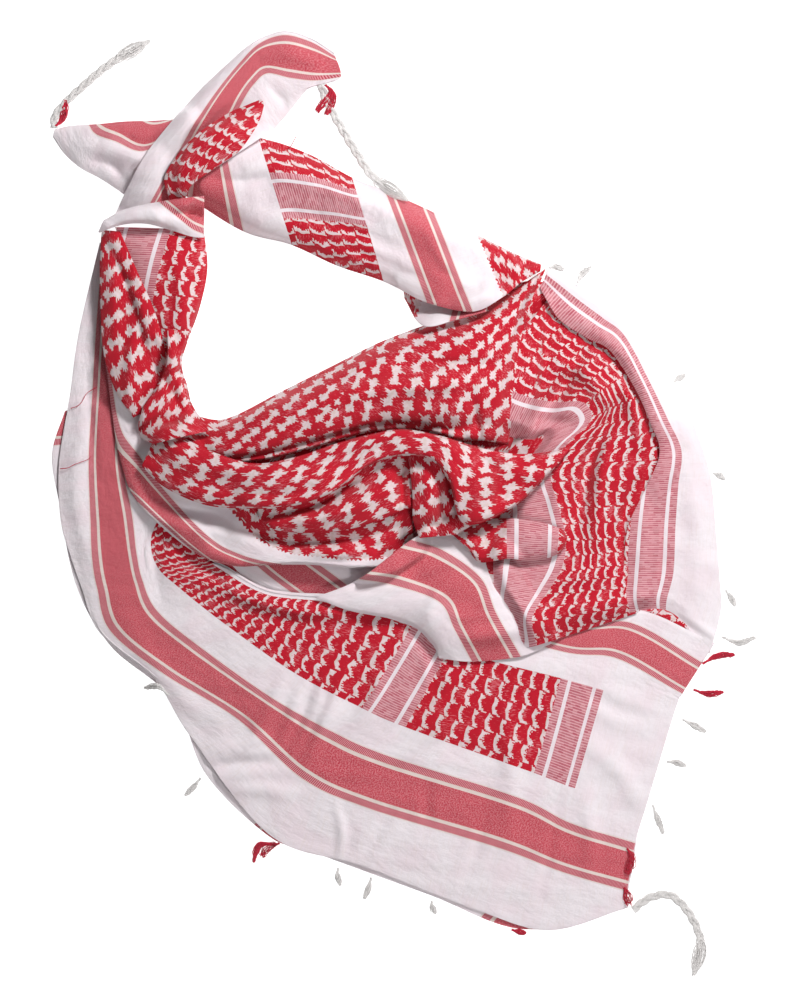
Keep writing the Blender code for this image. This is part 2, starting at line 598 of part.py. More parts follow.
def solid(name, grid, bottom, top, colour):
    """A closed wall between two heights over a grid."""
    rows, columns = bottom.shape
    count = rows * columns
    index = np.arange(count).reshape(rows, columns)
    a, b = index[:-1, :-1].ravel(), index[1:, :-1].ravel()
    c, d = index[1:, 1:].ravel(), index[:-1, 1:].ravel()
    under = np.concatenate([np.stack([a, b, c], 1), np.stack([a, c, d], 1)])
    rim = np.concatenate([index[:-1, 0], index[-1, :-1], index[:0:-1, -1], index[0, :0:-1]])
    onward = np.roll(rim, -1)
    lower = np.stack([rim, onward, onward + count], 1)
    upper = np.stack([rim, onward + count, rim + count], 1)
    sides = np.concatenate([lower, upper])
    faces = np.concatenate([under, under[:, ::-1] + count, sides[:, ::-1]])
    flat = grid.reshape(-1, 2)
    points = np.concatenate([np.column_stack([flat, height.ravel()]) for height in (bottom, top)])
    turns = np.cross(points[b] - points[a], points[c] - points[a])[:, 2].sum()
    if turns > 0:
        faces = faces[:, ::-1]
    show(name, points, faces, colour)


def show(name, points, faces, colour):
    mesh = bpy.data.meshes.new(name)
    mesh.from_pydata([tuple(p) for p in points], [], [tuple(int(i) for i in f) for f in faces])
    mesh.validate()
    mesh.shade_smooth()
    mesh.set_sharp_from_angle(angle=math.radians(50))
    material = bpy.data.materials.new(name)
    material.use_nodes = True
    shader = material.node_tree.nodes["Principled BSDF"]
    shader.inputs["Base Color"].default_value = colour
    shader.inputs["Roughness"].default_value = 0.85
    shader.inputs["Metallic"].default_value = 0.0
    mesh.materials.append(material)
    bpy.context.scene.collection.objects.link(bpy.data.objects.new(name, mesh))


def back_panel(heap):
    """The flat under layer, one smooth outline cut from a sheet of cloth."""
    hem = spline([row[0] for row in BACK_PANEL], 40)
    fold = spline([row[1] for row in BACK_PANEL], 40)
    outline = np.concatenate([hem, fold[::-1]]) * CM
    count = len(outline)
    points = [(x, y, z) for z in (0.0, WALL) for x, y in outline]
    around = list(range(count))
    faces = [around[::-1], [i + count for i in around]]
    faces += [(i, (i + 1) % count, (i + 1) % count + count, i + count) for i in around]
    show("back_panel", points, faces, WHITE)
    rows = np.stack([hem, fold], axis=1)
    grid = spline(rows.transpose(1, 0, 2), 20).transpose(1, 0, 2) * CM
    heap.add(grid, np.full(grid.shape[:2], WALL))


def ledges():
    """Where a heap's section has its corners, as shares of its width, and how high its ledges are there."""
    shares, heights = [0.0], [0.0]
    for layer in range(1, LAYER_EDGES + 1):
        start = shares[-1] + LEDGE_SLOPE
        shares += [start, start + LEDGE_WIDTH]
        heights += [layer * LAYER_STEP * CM] * 2
    shares += DOME
    heights += [0.0] * len(DOME)
    across = np.concatenate([shares, 1.0 - np.array(shares[-2::-1])])
    return across, np.concatenate([heights, heights[-2::-1]])


def heap_core(name, heap):
    """One rounded solid for the hidden layers of a heap, stepped at its sides like stacked cloth."""
    made = HEAPS[name]
    shares, steps = ledges()
    section, rise = spread(made["rows"], (made["cells"], 1))
    grid = section[:, :1] * (1.0 - shares[None, :, None]) + section[:, 1:] * shares[None, :, None]
    dome = (1.0 - np.abs(2.0 * shares - 1.0) ** HEAP_BREADTH) ** HEAP_DROP
    bottom = settled(grid, np.zeros(grid.shape[:2]), heap)
    bottom[:] = bottom.max()
    top = bottom + WALL + np.maximum(steps[None, :], rise[:, None] * dome[None, :])
    solid(name, grid, bottom, top, WHITE)
    heap.add(grid, top)


def stretch(name, heap):
    """One stretch of cloth, let down on the heap."""
    made = STRETCHES[name]
    grid, rise = spread(made["rows"], made["cells"])
    bottom = heap.softened(DRAPE_REACH)[heap.cell(grid)] + GAP
    bottom = bottom + rise[:, None] * arch(grid.shape[1])[None, :] + pressed(name, grid)
    bottom = settled(grid, bottom, heap)
    top = bottom + WALL * steepness(grid, bottom)
    solid(name, grid, bottom, top, made["colour"])
    heap.add(grid, top)


def tube(route, radii, sides):
    """The rings of a tube along a route of points, flattened where it meets the surface."""
    ahead = np.gradient(route, axis=0)
    ahead /= np.linalg.norm(ahead, axis=1)[:, None]
    side = np.cross(ahead, (0.0, 0.0, 1.0))
    side /= np.linalg.norm(side, axis=1)[:, None]
    up = np.cross(side, ahead)
    turn = 2.0 * math.pi * (np.arange(sides) + 0.5) / sides
    ring = np.cos(turn)[None, :, None] * side[:, None, :] + np.sin(turn)[None, :, None] * up[:, None, :]
    return route[:, None, :] + ring * np.asarray(radii)[:, None, None]


def resting(line, reaches, heap):
    """The height of each point of a cord that lies on the heap and bends up and down gently."""
    heights = np.array([heap.above(place, reach) for place, reach in zip(line, reaches)]) + GAP + TASSEL_CLEAR
    fall = CLIMB * np.linalg.norm(np.diff(line, axis=0), axis=1)
    for k in range(1, len(line)):
        heights[k] = max(heights[k], heights[k - 1] - fall[k - 1])
    for k in range(len(line) - 1, 0, -1):
        heights[k - 1] = max(heights[k - 1], heights[k] - fall[k - 1])
    return heights


def tassel(name, colour, route, radii, tip, heap):
    """A cord or knot along a route, whose end face is cut into a row of strands that fan out."""
    along = np.array(tip) * CM - route[-1]
    side = np.array([along[1], -along[0]]) / np.linalg.norm(along)
    bends = np.array([route[-1] + bend["share"] * along for bend in STRAND_BENDS])
    fans = [bend["fan"] * TASSEL_FAN * CM for bend in STRAND_BENDS]
    reaches = [radius + 1.5 * CELL for radius in radii] + [fan + CELL for fan in fans]
    heights = resting(np.concatenate([route, bends]), reaches, heap)
    sides = 2 * TASSEL_STRANDS + 2
    rings = tube(np.column_stack([route, heights[: len(route)] + radii]), radii, sides)
    points = rings.reshape(-1, 3).tolist()
    faces = [tuple(range(sides))]
    for ring in range(len(route) - 1):
        for k in range(sides):
            a, b = ring * sides + k, ring * sides + (k + 1) % sides
            faces.append((b, a, a + sides, b + sides))
    last = (len(route) - 1) * sides
    for strand in range(TASSEL_STRANDS):
        corners = [last + strand, last + strand + 1, last + sides - 2 - strand, last + sides - 1 - strand]
        root = np.array([points[corner] for corner in corners])
        out = (TASSEL_STRANDS - 1) / 2 - strand
        for bend, place, fan, height in zip(STRAND_BENDS, bends, fans, heights[len(route) :]):
            middle = np.append(place + side * out * fan, height + radii[-1] * bend["size"])
            onward = list(range(len(points), len(points) + len(corners)))
            points += (middle + (root - root.mean(axis=0)) * bend["size"]).tolist()
            for k in range(len(corners)):
                after = (k + 1) % len(corners)
                faces.append((corners[after], corners[k], onward[k], onward[after]))
            corners = onward
        faces.append(tuple(corners[::-1]))
    show(name, points, faces, colour)


def edge_tassel(name, heap):
    """A small knotted tassel, from just outside the edge that it hangs on."""
    colour, root, bend, tip = TASSELS[name]
    radii = np.array(TASSEL_RADII) * CM
    tassel(name, colour, spline([root, bend], len(radii)) * CM, radii, tip, heap)


def corner_braid(name, heap):
    """A braided cord that leaves a corner of the cloth, thickening into its tassel."""
    made = BRAIDS[name]
    radii = np.full(BRAID_RINGS, 0.5 * made["thick"] * CM)
    radii[0] *= BRAID_NECK
    radii[-len(BRAID_HEAD) :] *= BRAID_HEAD
    tassel(name, WHITE, spline(made["route"], BRAID_RINGS) * CM, radii, made["tip"], heap)


for old in list(bpy.data.objects):
    bpy.data.objects.remove(old)

scarf = Heap()
back_panel(scarf)
under, *over = STRETCHES
stretch(under, scarf)
for part in HEAPS:
    heap_core(part, scarf)
for part in over:
    stretch(part, scarf)
for part in TASSELS:
    edge_tassel(part, scarf)
for part in BRAIDS:
    corner_braid(part, scarf)
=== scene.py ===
import json
import math
import bpy
import numpy as np
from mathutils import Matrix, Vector

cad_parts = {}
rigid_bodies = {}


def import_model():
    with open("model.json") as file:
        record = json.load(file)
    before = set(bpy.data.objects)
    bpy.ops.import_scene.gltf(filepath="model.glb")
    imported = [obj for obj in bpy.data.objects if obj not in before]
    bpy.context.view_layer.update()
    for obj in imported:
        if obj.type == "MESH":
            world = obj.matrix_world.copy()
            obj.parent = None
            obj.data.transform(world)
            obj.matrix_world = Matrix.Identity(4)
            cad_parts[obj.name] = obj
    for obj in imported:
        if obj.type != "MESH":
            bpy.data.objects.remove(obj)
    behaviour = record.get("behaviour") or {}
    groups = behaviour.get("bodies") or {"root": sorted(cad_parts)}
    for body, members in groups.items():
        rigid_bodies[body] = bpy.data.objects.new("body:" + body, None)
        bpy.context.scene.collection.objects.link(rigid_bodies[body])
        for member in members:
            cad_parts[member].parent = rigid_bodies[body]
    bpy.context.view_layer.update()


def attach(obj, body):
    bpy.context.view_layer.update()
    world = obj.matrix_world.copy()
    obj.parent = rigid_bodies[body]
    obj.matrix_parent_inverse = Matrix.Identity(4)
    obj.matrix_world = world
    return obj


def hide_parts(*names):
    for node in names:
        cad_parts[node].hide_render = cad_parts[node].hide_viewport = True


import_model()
cm = 0.01

# The square that the scarf is woven as, in centimetres from a selvedge (across the warp bands) or from a
# fringed edge (along them); each value is mirrored on the far side
cut = {
    "side": 125.0,
    "outerBand": (8.5, 14.0),
    "leafColumn": (18.5, 28.0),
    "innerBand": (32.0, 37.0),
    "centreColumn": 41.0,
    "outerBlock": (9.1, 15.2),
    "innerBlock": (29.9, 36.3),
}

# How a stretch of cloth comes to lie, in metres
lay = {
    "cell": 0.002,          # cell of the height map
    "grain": 0.0025,        # length of a face
    "backGrain": 0.006,     # the same for the flat back panel
    "wall": 0.002,          # height that a layer adds
    "steepest": 1.8,        # most that a slope adds to that
    "gap": 0.0007,          # between a layer and what it lies on
    "cloth": 0.0006,        # thickness of the cloth itself
    "reach": 0.006,         # how far the cloth bridges over what is under it
    "breadth": 2.4,         # how flat the top of an arch is
    "drop": 0.9,            # how soon its sides fall
    "foldRadius": 0.00095,
    "hemRadius": 0.00065,
    "turnedUnder": 0.006,   # width of cloth turned back under an edge
    "joinWidth": 0.02,      # over which a joined edge sinks into the cloth below
    "joinRamp": 1.5,        # rows over which a join begins
}
# Unevenness of the cloth, in metres
waves = {
    "count": 9, "lengths": (0.028, 0.09), "heights": (0.00012, 0.0003), "bend": 0.006, "bendLength": 0.11,
}
mapBox = {"west": -44.0, "east": 44.0, "south": -58.0, "north": 58.0}

# The stretches, bottom first, in centimetres. "lines" name the long lines and say where each one is in the
# cut; a row gives its arch, where it is along the cut, and its points. A third number in a point moves the
# line there. "warp" lines are counted from the selvedge, "weft" lines from the fringe.
stretches = {
    "back_panel": dict(
        replaces=("back_panel",), run="weft",
        lines=dict(fringe=0, middle=18, fold=36), edges=("hem", "", "", ""),
        rows=(
            (0, 92, (-38.9, 10.6), (-38.4, 10.7, 0.5), (-37.8, 10.8, 1.1)),
            (0, 87, (-40.4, 5.6), (-34.0, 6.6, 6.5), (-25.0, 8.0, 15.6)),
            (0, 81.5, (-39.6, 0.0), (-28.0, 6.0, 13), (-15.0, 11.6, 27)),
            (0, 72, (-37.6, -9.6), (-20.0, 2.0, 21), (-5.0, 16.4, 42)),
            (0, 64, (-33.6, -16.6), (-14.0, 2.0, 27), (5.0, 20.0, 53)),
            (0, 54.5, (-26.4, -22.8), (-5.0, 2.0, 33), (15.4, 25.6, 62)),
            (0, 45, (-22.6, -31.4), (2.0, -6.0, 35), (26.0, 18.0, 62)),
            (0, 35, (-15.5, -38.4), (9.0, -14.0, 34), (32.0, 9.0, 62)),
            (0, 30, (-10.4, -40.3), (12.0, -18.0, 31), (34.2, 4.0, 60)),
            (0, 19, (3.0, -45.2), (20.0, -28.0, 24), (35.8, -12.0, 46)),
            (0, 10, (14.0, -49.2), (23.0, -36.0, 16), (31.6, -22.6, 32)),
            (0, 0.5, (25.6, -46.9), (26.6, -42.0, 5), (27.4, -36.0, 11)),
        ),
    ),
    "shadow_pleat": dict(
        replaces=("shadow_pleat",), run="weft",
        lines=dict(upper=76, middle=71, lower=66), edges=("", "", "", ""),
        rows=(
            (0.0, 26.0, (-24.5, -3.8), (-21.5, -6.5), (-18.5, -10.0)),
            (0.2, 28.5, (-22.8, -4.0), (-19.6, -7.0), (-16.0, -10.6)),
            (0.4, 32.0, (-19.2, -5.0), (-15.6, -8.3), (-10.8, -11.8)),
            (0.4, 37.0, (-12.8, -5.0), (-8.6, -7.9), (-4.0, -11.4)),
            (0.2, 41.0, (-7.4, -4.6), (-3.2, -7.3), (0.6, -10.4)),
        ),
    ),
    "front_panel": dict(
        replaces=("side_panel", "front_panel"), grain=0.0029, run="warp", edges=("hem", "", "", "hem"),
        lines=dict(hem=0, bandOuter=8.5, bandInner=14, leafOuter=18.5, leafInner=28, upper=30, top=41),
        rows=(
            (0.2, 125, (-34.9, 30.0, 6), (-34.6, 30.0), (-34.2, 30.0, 9.2), (-33.8, 30.0, 9.8),
             (-33.4, 30.0, 10.2), (-33.0, 30.0, 10.6), (-32.6, 30.0, 11)),
            (0.4, 113, (-37.3, 19.7, 5.6), (-35.4, 19.5), (-34.4, 19.3, 10), (-33.9, 19.2, 11),
             (-33.5, 19.1, 11.6), (-33.1, 19.0, 12.2), (-32.7, 19.0, 12.8)),
            (0.5, 104, (-38.4, 12.0, 4.8), (-35.8, 12.5), (-33.4, 12.5, 12), (-32.6, 12.5, 13.4),
             (-32.0, 12.5, 14.2), (-31.4, 12.5, 14.8), (-30.8, 12.5, 15.4)),
            (0.6, 94, (-39.6, 4.5, 4.5), (-36.2, 5.0), (-32.3, 5.0), (-30.2, 5.3, 16.4),
             (-29.0, 5.5, 17.6), (-28.2, 5.6, 18.4), (-27.4, 5.7, 19.2)),
            (0.4, 84, (-39.4, -2.0, 4.6), (-36.0, -2.0), (-31.2, -1.5), (-28.7, -0.5, 17),
             (-27.5, 0.0, 18.6), (-26.7, 0.4, 19.4), (-25.9, 0.8, 20.2)),
            (0.4, 77, (-38.2, -6.4, 6), (-35.8, -6.5), (-30.7, -5.8), (-29.6, -4.6, 17.4),
             (-26.4, -2.8, 23), (-25.6, -2.4, 24), (-24.8, -2.0, 25)),
            (0.4, 71, (-37.0, -9.8, 6.6), (-35.2, -10.0), (-30.0, -9.0), (-28.3, -7.4),
             (-23.9, -6.4, 26), (-23.2, -6.2, 27), (-22.6, -6.0, 27.6)),
            (0.5, 64, (-34.9, -15.0, 7.2), (-33.7, -14.8), (-28.4, -12.4), (-25.8, -9.8),
             (-20.8, -7.8), (-20.5, -7.6, 28.2), (-20.2, -7.4, 28.4)),
            (0.5, 55, (-28.6, -20.3, 7.2), (-27.6, -19.7), (-24.0, -16.2), (-20.5, -14.0),
             (-15.6, -10.6), (-15.4, -10.3, 28.2), (-15.2, -10.0, 28.4)),
            (0.3, 45, (-24.4, -27.0, 2.6), (-19.0, -25.0), (-15.3, -22.4), (-12.4, -19.7),
             (-8.2, -11.6), (-7.9, -11.1, 28.4), (-7.6, -10.6, 29)),
            (0.3, 36.3, (-15.2, -38.4), (-11.6, -31.8), (-8.2, -26.4), (-4.7, -23.7),
             (1.1, -14.3), (1.8, -12.8, 29.6), (2.6, -11.4, 31.2)),
            (0.3, 29.9, (-4.6, -41.9), (-3.8, -35.3), (-1.8, -29.2), (0.3, -25.9),
             (5.4, -16.9), (6.0, -15.6, 29.4), (6.6, -14.2, 30.8)),
            (0.3, 15.5, (8.6, -47.0), (11.0, -39.8), (13.2, -34.0), (14.9, -31.1),
             (18.0, -20.2), (18.5, -17.2, 32), (20.0, -13.0, 38)),
            (0.2, 8.5, (17.0, -49.3), (18.4, -42.6), (19.4, -37.0), (20.4, -33.1),
             (23.7, -21.8), (24.8, -18.0, 32), (27.4, -12.4, 39)),
            (0.0, 0.0, (26.0, -46.7, 6.4), (25.9, -44.8), (26.8, -39.3), (28.2, -34.6),
             (31.4, -24.0), (32.4, -21.8, 32.4), (36.0, -16.2, 40)),
        ),
    ),
    "inner_panel": dict(
        replaces=("inner_panel", "third_fold"), drop=0.5, run="warp", edges=("fold", "", "", ""),
        lines=dict(foldEdge=32, bandInner=37, fieldEdge=41, upper=48),
        rows=(
            (0.3, 84, (-34.1, 16.0, 36.6), (-33.0, 16.2, 38), (-31.5, 16.5, 40), (-30.0, 16.8, 40.9)),
            (0.5, 78, (-33.3, 9.5, 36.4), (-31.8, 9.6, 38), (-29.0, 9.9, 40), (-27.0, 10.0, 40.9)),
            (0.9, 73.5, (-32.4, 4.8, 35.5), (-30.2, 5.2, 37), (-27.0, 5.8, 40), (-24.5, 6.2, 40.9)),
            (1.2, 69, (-30.4, 0.0), (-26.5, 0.3), (-23.5, 1.5, 40), (-21.5, 2.5, 40.9)),
            (1.4, 64, (-24.2, -5.5), (-22.0, -4.2), (-19.6, -1.2), (-17.0, 1.0, 43.6)),
            (1.9, 60, (-19.6, -7.2, 34.3), (-18.6, -6.0), (-16.9, -4.1), (-14.2, 0.4, 46)),
            (2.2, 56, (-15.2, -7.1, 36.6), (-14.8, -6.8, 37.4), (-13.4, -5.8), (-12.0, 0.4, 47.4)),
            (2.3, 52, (-10.6, -7.1, 37.8), (-10.4, -6.8, 38.6), (-9.7, -6.3), (-9.0, 0.4, 47.6)),
            (2.2, 47.5, (-5.6, -7.5, 38), (-5.5, -7.2, 38.8), (-5.2, -6.7), (-5.0, 0.4)),
            (1.7, 43.5, (-1.8, -7.2, 38), (-1.7, -6.9, 38.8), (-1.6, -6.3), (-2.0, 1.2)),
            (0.8, 40.5, (1.6, -5.2, 38), (1.5, -4.9, 38.8), (1.3, -4.2), (0.8, 2.0, 47)),
        ),
    ),
    "band_pleat": dict(
        replaces=("band_pleat",), drop=0.5, run="warp", edges=("fold", "", "", "hem"),
        lines=dict(lower=28.5, bandOuter=32, bandInner=37, upper=40),
        rows=(
            (0.6, 41, (-10.0, -10.9), (-5.0, -8.8), (1.0, -4.3), (5.0, -2.6)),
            (1.3, 37, (-6.0, -12.4), (-1.0, -9.5), (4.8, -5.6), (7.6, -4.4)),
            (1.8, 32, (0.5, -13.8), (4.2, -11.4), (9.0, -8.7), (11.6, -7.6)),
            (1.8, 28, (3.4, -16.2), (6.0, -14.6), (10.8, -12.8), (14.2, -12.2)),
            (0.1, 24, (4.3, -17.9), (8.0, -18.3), (13.6, -17.7), (17.2, -16.2)),
        ),
    ),
    "right_panel": dict(
        replaces=("right_panel",), breadth=2.8, drop=0.6, run="weft",
        edges=("join", "", "", "fold"), joinsFrom=10.5,
        lines=dict(inner=37, stripe=29.9, field=22.5, rim=15.5),
        rows=(
            (0.0, 83.4, (8.4, 9.0, 36), (10.4, 14.2), (13.6, 19.4), (16.6, 23.2)),
            (1.0, 80, (11.8, 7.8, 35), (13.9, 12.3), (17.2, 17.2), (20.6, 20.2)),
            (1.6, 76, (14.6, 7.0, 34.2), (17.8, 11.6), (20.6, 15.4), (23.8, 18.0)),
            (1.8, 73, (15.8, 7.6, 34), (20.6, 11.6), (23.2, 13.8), (26.4, 16.0)),
            (1.8, 71.2, (16.0, 7.4, 34), (21.8, 10.2), (24.6, 11.8), (28.0, 13.2)),
            (1.8, 69.6, (15.6, 6.6, 34), (21.2, 8.8), (24.8, 9.8), (29.2, 10.6)),
            (1.8, 67.2, (14.4, 5.0, 34.4), (19.4, 7.2), (24.4, 7.6), (29.9, 8.0)),
            (1.7, 64.4, (13.0, 3.2, 35), (17.7, 5.0), (23.6, 5.2), (30.2, 5.4)),
            (1.6, 61.6, (12.0, 1.4, 35.6), (17.1, 2.6), (23.2, 2.8), (29.9, 3.0)),
            (1.5, 58.4, (12.2, -0.8, 36), (17.8, 0.0), (23.0, 0.2), (28.8, 0.4)),
            (1.4, 54.6, (11.6, -4.0, 36), (18.8, -4.0), (23.0, -3.8), (28.2, -3.4)),
            (1.3, 51.2, (9.6, -6.6, 37), (18.4, -7.4), (23.2, -7.0), (28.0, -6.6)),
            (1.4, 47.4, (10.2, -9.4, 36.6), (16.7, -10.3), (22.4, -10.0), (27.8, -9.4)),
            (1.5, 44.2, (12.4, -12.6, 34), (14.9, -13.2), (21.6, -12.4), (27.4, -11.2)),
            (0.0, 41.4, (13.8, -16.6, 31.4), (15.4, -16.4), (21.2, -14.6), (27.0, -12.7)),
        ),
    ),
    "right_rim": dict(
        replaces=("right_rim",), run="weft", edges=("part", "hem", "hem", "join"), joinsFrom=7.4,
        lines=dict(inner=15.5, stripeOuter=8.5, fringe=0),
        rows=(
            (0.0, 83.6, (15.9, 24.8, 12.6), (16.5, 26.0, 9.6), (16.7, 26.8, 8.6)),
            (0.6, 80.6, (18.0, 21.3, 13), (20.0, 23.4, 9.3), (20.6, 24.7, 7.6)),
            (0.8, 77.4, (21.2, 19.1, 13), (23.2, 21.3, 9), (24.2, 22.3, 7.2)),
            (0.9, 74, (24.0, 17.5, 13), (25.7, 19.2, 9), (26.8, 19.5, 7.4)),
            (1.1, 69, (26.8, 13.2, 12.4), (28.7, 14.2), (29.9, 15.2, 6.8)),
            (1.1, 64.4, (28.5, 9.4, 12.2), (31.0, 9.6), (33.0, 10.0, 6.3)),
            (1.0, 60.4, (29.7, 5.8, 12.4), (32.6, 6.0), (34.6, 6.2, 5.8)),
            (0.7, 56, (28.2, 1.8, 13.6), (32.3, 2.0), (35.6, 2.3, 4.8)),
            (0.5, 51, (26.0, -3.0), (32.0, -3.0), (36.1, -3.0, 4)),
            (0.4, 46, (25.6, -8.0), (31.8, -8.0), (36.5, -8.0, 3.4)),
            (0.3, 43, (25.6, -11.0), (31.0, -11.2), (36.7, -12.4, 2.4)),
            (0.1, 41.2, (26.2, -12.9), (30.8, -12.9), (35.4, -17.4, 2)),
        ),
    ),
    "cross_roll": dict(
        replaces=("cross_roll",), drop=0.55, run="warp",
        lines=dict(upper=50, lower=45.5), edges=("fold", "fold", "", "fold"),
        rows=(
            (0.5, 44, (5.0, -3.0), (7.6, -5.4)),
            (1.2, 40, (8.4, -2.2), (9.0, -6.8)),
            (1.5, 36.3, (12.0, -1.9), (12.0, -6.4)),
            (1.5, 33, (15.2, -2.2), (15.2, -6.6)),
            (1.1, 29.9, (18.0, -3.0), (17.8, -5.9)),
            (0.4, 28.8, (18.9, -4.0), (18.7, -4.9)),
        ),
    ),
    "second_fold": dict(
        replaces=("second_fold",), drop=0.5, run="warp",
        lines=dict(upper=56, lower=50), edges=("", "fold", "fold", ""),
        rows=(
            (0.4, 66, (-17.0, 2.0), (-16.4, -1.8, 53)),
            (1.0, 62.5, (-13.5, 2.4), (-14.4, -3.1)),
            (1.3, 58.5, (-9.5, 3.4), (-10.0, -3.4, 49.4)),
            (1.5, 54, (-5.5, 5.0), (-5.8, -2.9, 48.6)),
            (1.5, 50, (-2.5, 7.0), (-2.0, -1.7, 48)),
            (1.2, 47, (0.4, 7.4), (0.6, -0.6, 48.4)),
            (0.6, 44, (3.4, 7.0), (3.2, -1.4, 48.4)),
        ),
    ),
    "middle_fold": dict(
        replaces=("middle_fold",), drop=0.5, run="warp",
        lines=dict(left=50, right=57), edges=("fold", "", "", "fold"),
        rows=(
            (0.6, 64, (0.4, 7.2), (6.0, 7.0, 55.6)),
            (1.2, 60.5, (0.9, 4.0), (7.6, 4.4, 56.8)),
            (1.4, 57, (1.2, 1.0), (8.4, 1.4)),
            (1.3, 53.5, (1.3, -2.0), (8.4, -2.0)),
            (0.6, 51, (2.0, -4.0), (6.4, -3.6, 54.6)),
        ),
    ),
    "top_roll": dict(
        replaces=("top_roll",), breadth=4.4, drop=0.9, run="bias", lines=("neckline", "middle", "valley"),
        edges=("fold", "", "fold", "join"),
        rows=(
            (0.6, (-24.3, 10.0, 47.0, 80.6), (-25.0, 8.2, 45.2, 79.6), (-25.4, 6.4, 43.0, 78.6)),
            (1.5, (-20.3, 9.6, 49.0, 77.0), (-21.0, 7.0, 46.2, 75.6), (-21.4, 4.8, 43.4, 74.6)),
            (2.6, (-14.0, 12.7, 53.6, 71.6), (-15.0, 9.7, 50.5, 70.2), (-15.9, 4.9, 45.8, 67.8)),
            (3.0, (-8.4, 15.5, 57.8, 67.2), (-9.2, 11.9, 54.3, 65.0), (-9.8, 6.4, 49.3, 61.0)),
            (3.1, (-2.6, 18.4, 62.4, 62.4), (-3.3, 14.3, 58.6, 59.6), (-3.6, 8.1, 53.5, 55.0)),
            (3.1, (3.0, 20.5, 66.8, 58.2), (2.6, 15.9, 62.7, 55.3), (2.2, 8.4, 57.2, 50.2)),
            (2.9, (8.6, 22.2, 71.0, 54.0), (8.0, 16.7, 66.4, 50.5), (6.4, 7.2, 59.5, 44.2)),
            (1.9, (12.8, 24.4, 74.4, 50.6), (11.0, 18.5, 69.6, 47.0), (9.3, 7.1, 61.6, 40.9)),
            (0.7, (16.5, 26.9, 78.0, 47.2), (14.0, 20.0, 72.5, 43.1), (12.2, 6.7, 62.6, 36.7)),
        ),
    ),
    "main_swag": dict(
        replaces=("main_swag",), reach=0.011, breadth=3.0, drop=0.45, run="warp",
        lines=dict(valley=63, foldEdge=56), edges=("fold", "fold", "fold", "fold"),
        rows=(
            (0.5, 88, (-28.6, 7.0, 60), (-29.9, 4.2)),
            (1.1, 85.5, (-26.0, 7.6), (-27.4, 1.9)),
            (1.4, 81, (-22.0, 5.8), (-23.0, -0.1)),
            (1.5, 76, (-17.0, 4.4, 62.0), (-18.4, -0.6)),
            (1.5, 71, (-12.0, 5.2, 62.4), (-13.0, -0.4)),
            (1.5, 66.5, (-7.8, 6.6, 62.2), (-8.0, 1.3)),
            (1.4, 62.5, (-3.8, 7.7, 60.4), (-3.8, 4.3)),
            (1.3, 58.5, (0.0, 8.3, 59.4), (-0.2, 5.4)),
            (1.5, 55, (4.2, 7.6, 59.4), (3.2, 5.0)),
            (1.7, 51.5, (8.2, 6.4, 61.4), (5.4, 2.4)),
            (1.9, 47.5, (12.0, 5.6, 62), (7.2, -2.4, 53)),
            (1.6, 43.5, (15.8, 5.6, 62.4), (12.8, -0.4, 56)),
            (0.7, 40, (19.3, 6.4, 64), (17.4, 3.9, 61)),
        ),
    ),
    "left_arm_inner": dict(
        replaces=("left_arm_inner",), drop=0.5, run="weft",
        lines=dict(diagonal=36.5, outer=26), edges=("", "fold", "", ""),
        rows=(
            (0.6, 62, (-33.2, 31.8, 36.6), (-23.0, 31.4, 26.2)),
            (1.1, 57.6, (-31.2, 27.4, 33.4), (-22.6, 27.0, 24.2)),
            (1.2, 53.4, (-29.4, 23.0, 30.6), (-23.4, 22.8, 24)),
            (1.0, 49.8, (-28.4, 19.4, 29.3), (-24.8, 18.8, 25.2)),
            (0.5, 47.2, (-27.8, 16.8, 28.9), (-25.6, 16.4, 26.4)),
        ),
    ),
    "left_arm_outer": dict(
        replaces=("left_arm_outer",), drop=0.5, run="warp",
        lines=dict(outer=44, diagonal=50), edges=("fold", "fold", "", ""),
        rows=(
            (0.5, 62, (-34.6, 31.4), (-32.6, 31.2, 46.4)),
            (0.9, 57.6, (-34.8, 27.0), (-30.6, 26.6, 48.6)),
            (1.1, 52.6, (-34.7, 22.0), (-28.6, 22.0, 50.6)),
            (1.1, 48.1, (-34.4, 17.5), (-27.4, 17.5, 51.6)),
            (0.9, 44, (-33.0, 13.0, 44.6), (-27.6, 14.0)),
            (0.4, 40, (-30.9, 9.8, 46), (-29.4, 10.6, 47.8)),
        ),
    ),
    "left_arm_lower": dict(
        replaces=("left_arm_lower",), drop=0.5, run="warp",
        lines=dict(fold=46, outer=52), edges=("fold", "fold", "", "fold"),
        rows=(
            (0.5, 60, (-27.0, 20.0, 47.4), (-24.6, 19.6, 50.2)),
            (1.1, 56.4, (-27.1, 16.8, 47.2), (-25.5, 16.0, 49.6)),
            (1.4, 52.8, (-28.0, 13.6, 47), (-24.9, 13.4)),
            (1.3, 50, (-29.9, 10.6), (-24.4, 11.4, 53)),
            (1.0, 47, (-30.2, 7.8), (-23.2, 9.6, 53.6)),
            (0.5, 45.4, (-28.6, 6.8), (-21.8, 8.4, 53.6)),
        ),
    ),
    "arm_flap": dict(
        replaces=("arm_flap",), run="weft", lines=dict(lower=48, upper=44), edges=("fold", "", "fold", ""),
        rows=(
            (0.3, 43, (0.3, 23.6), (0.2, 25.6)),
            (0.6, 40, (2.4, 20.4), (4.0, 25.0)),
            (0.6, 36.4, (6.0, 21.0), (7.0, 24.4)),
            (0.3, 33, (9.6, 22.0), (10.0, 24.6)),
        ),
    ),
    "tail_end": dict(
        replaces=("tail_end",), run="warp",
        lines=dict(upper=13.4, band=8.5, lower=0), edges=("fold", "hem", "", "hem"),
        rows=(
            (1.4, 20, (-24.6, 44.3, 12), (-26.2, 42.2), (-29.6, 33.6)),
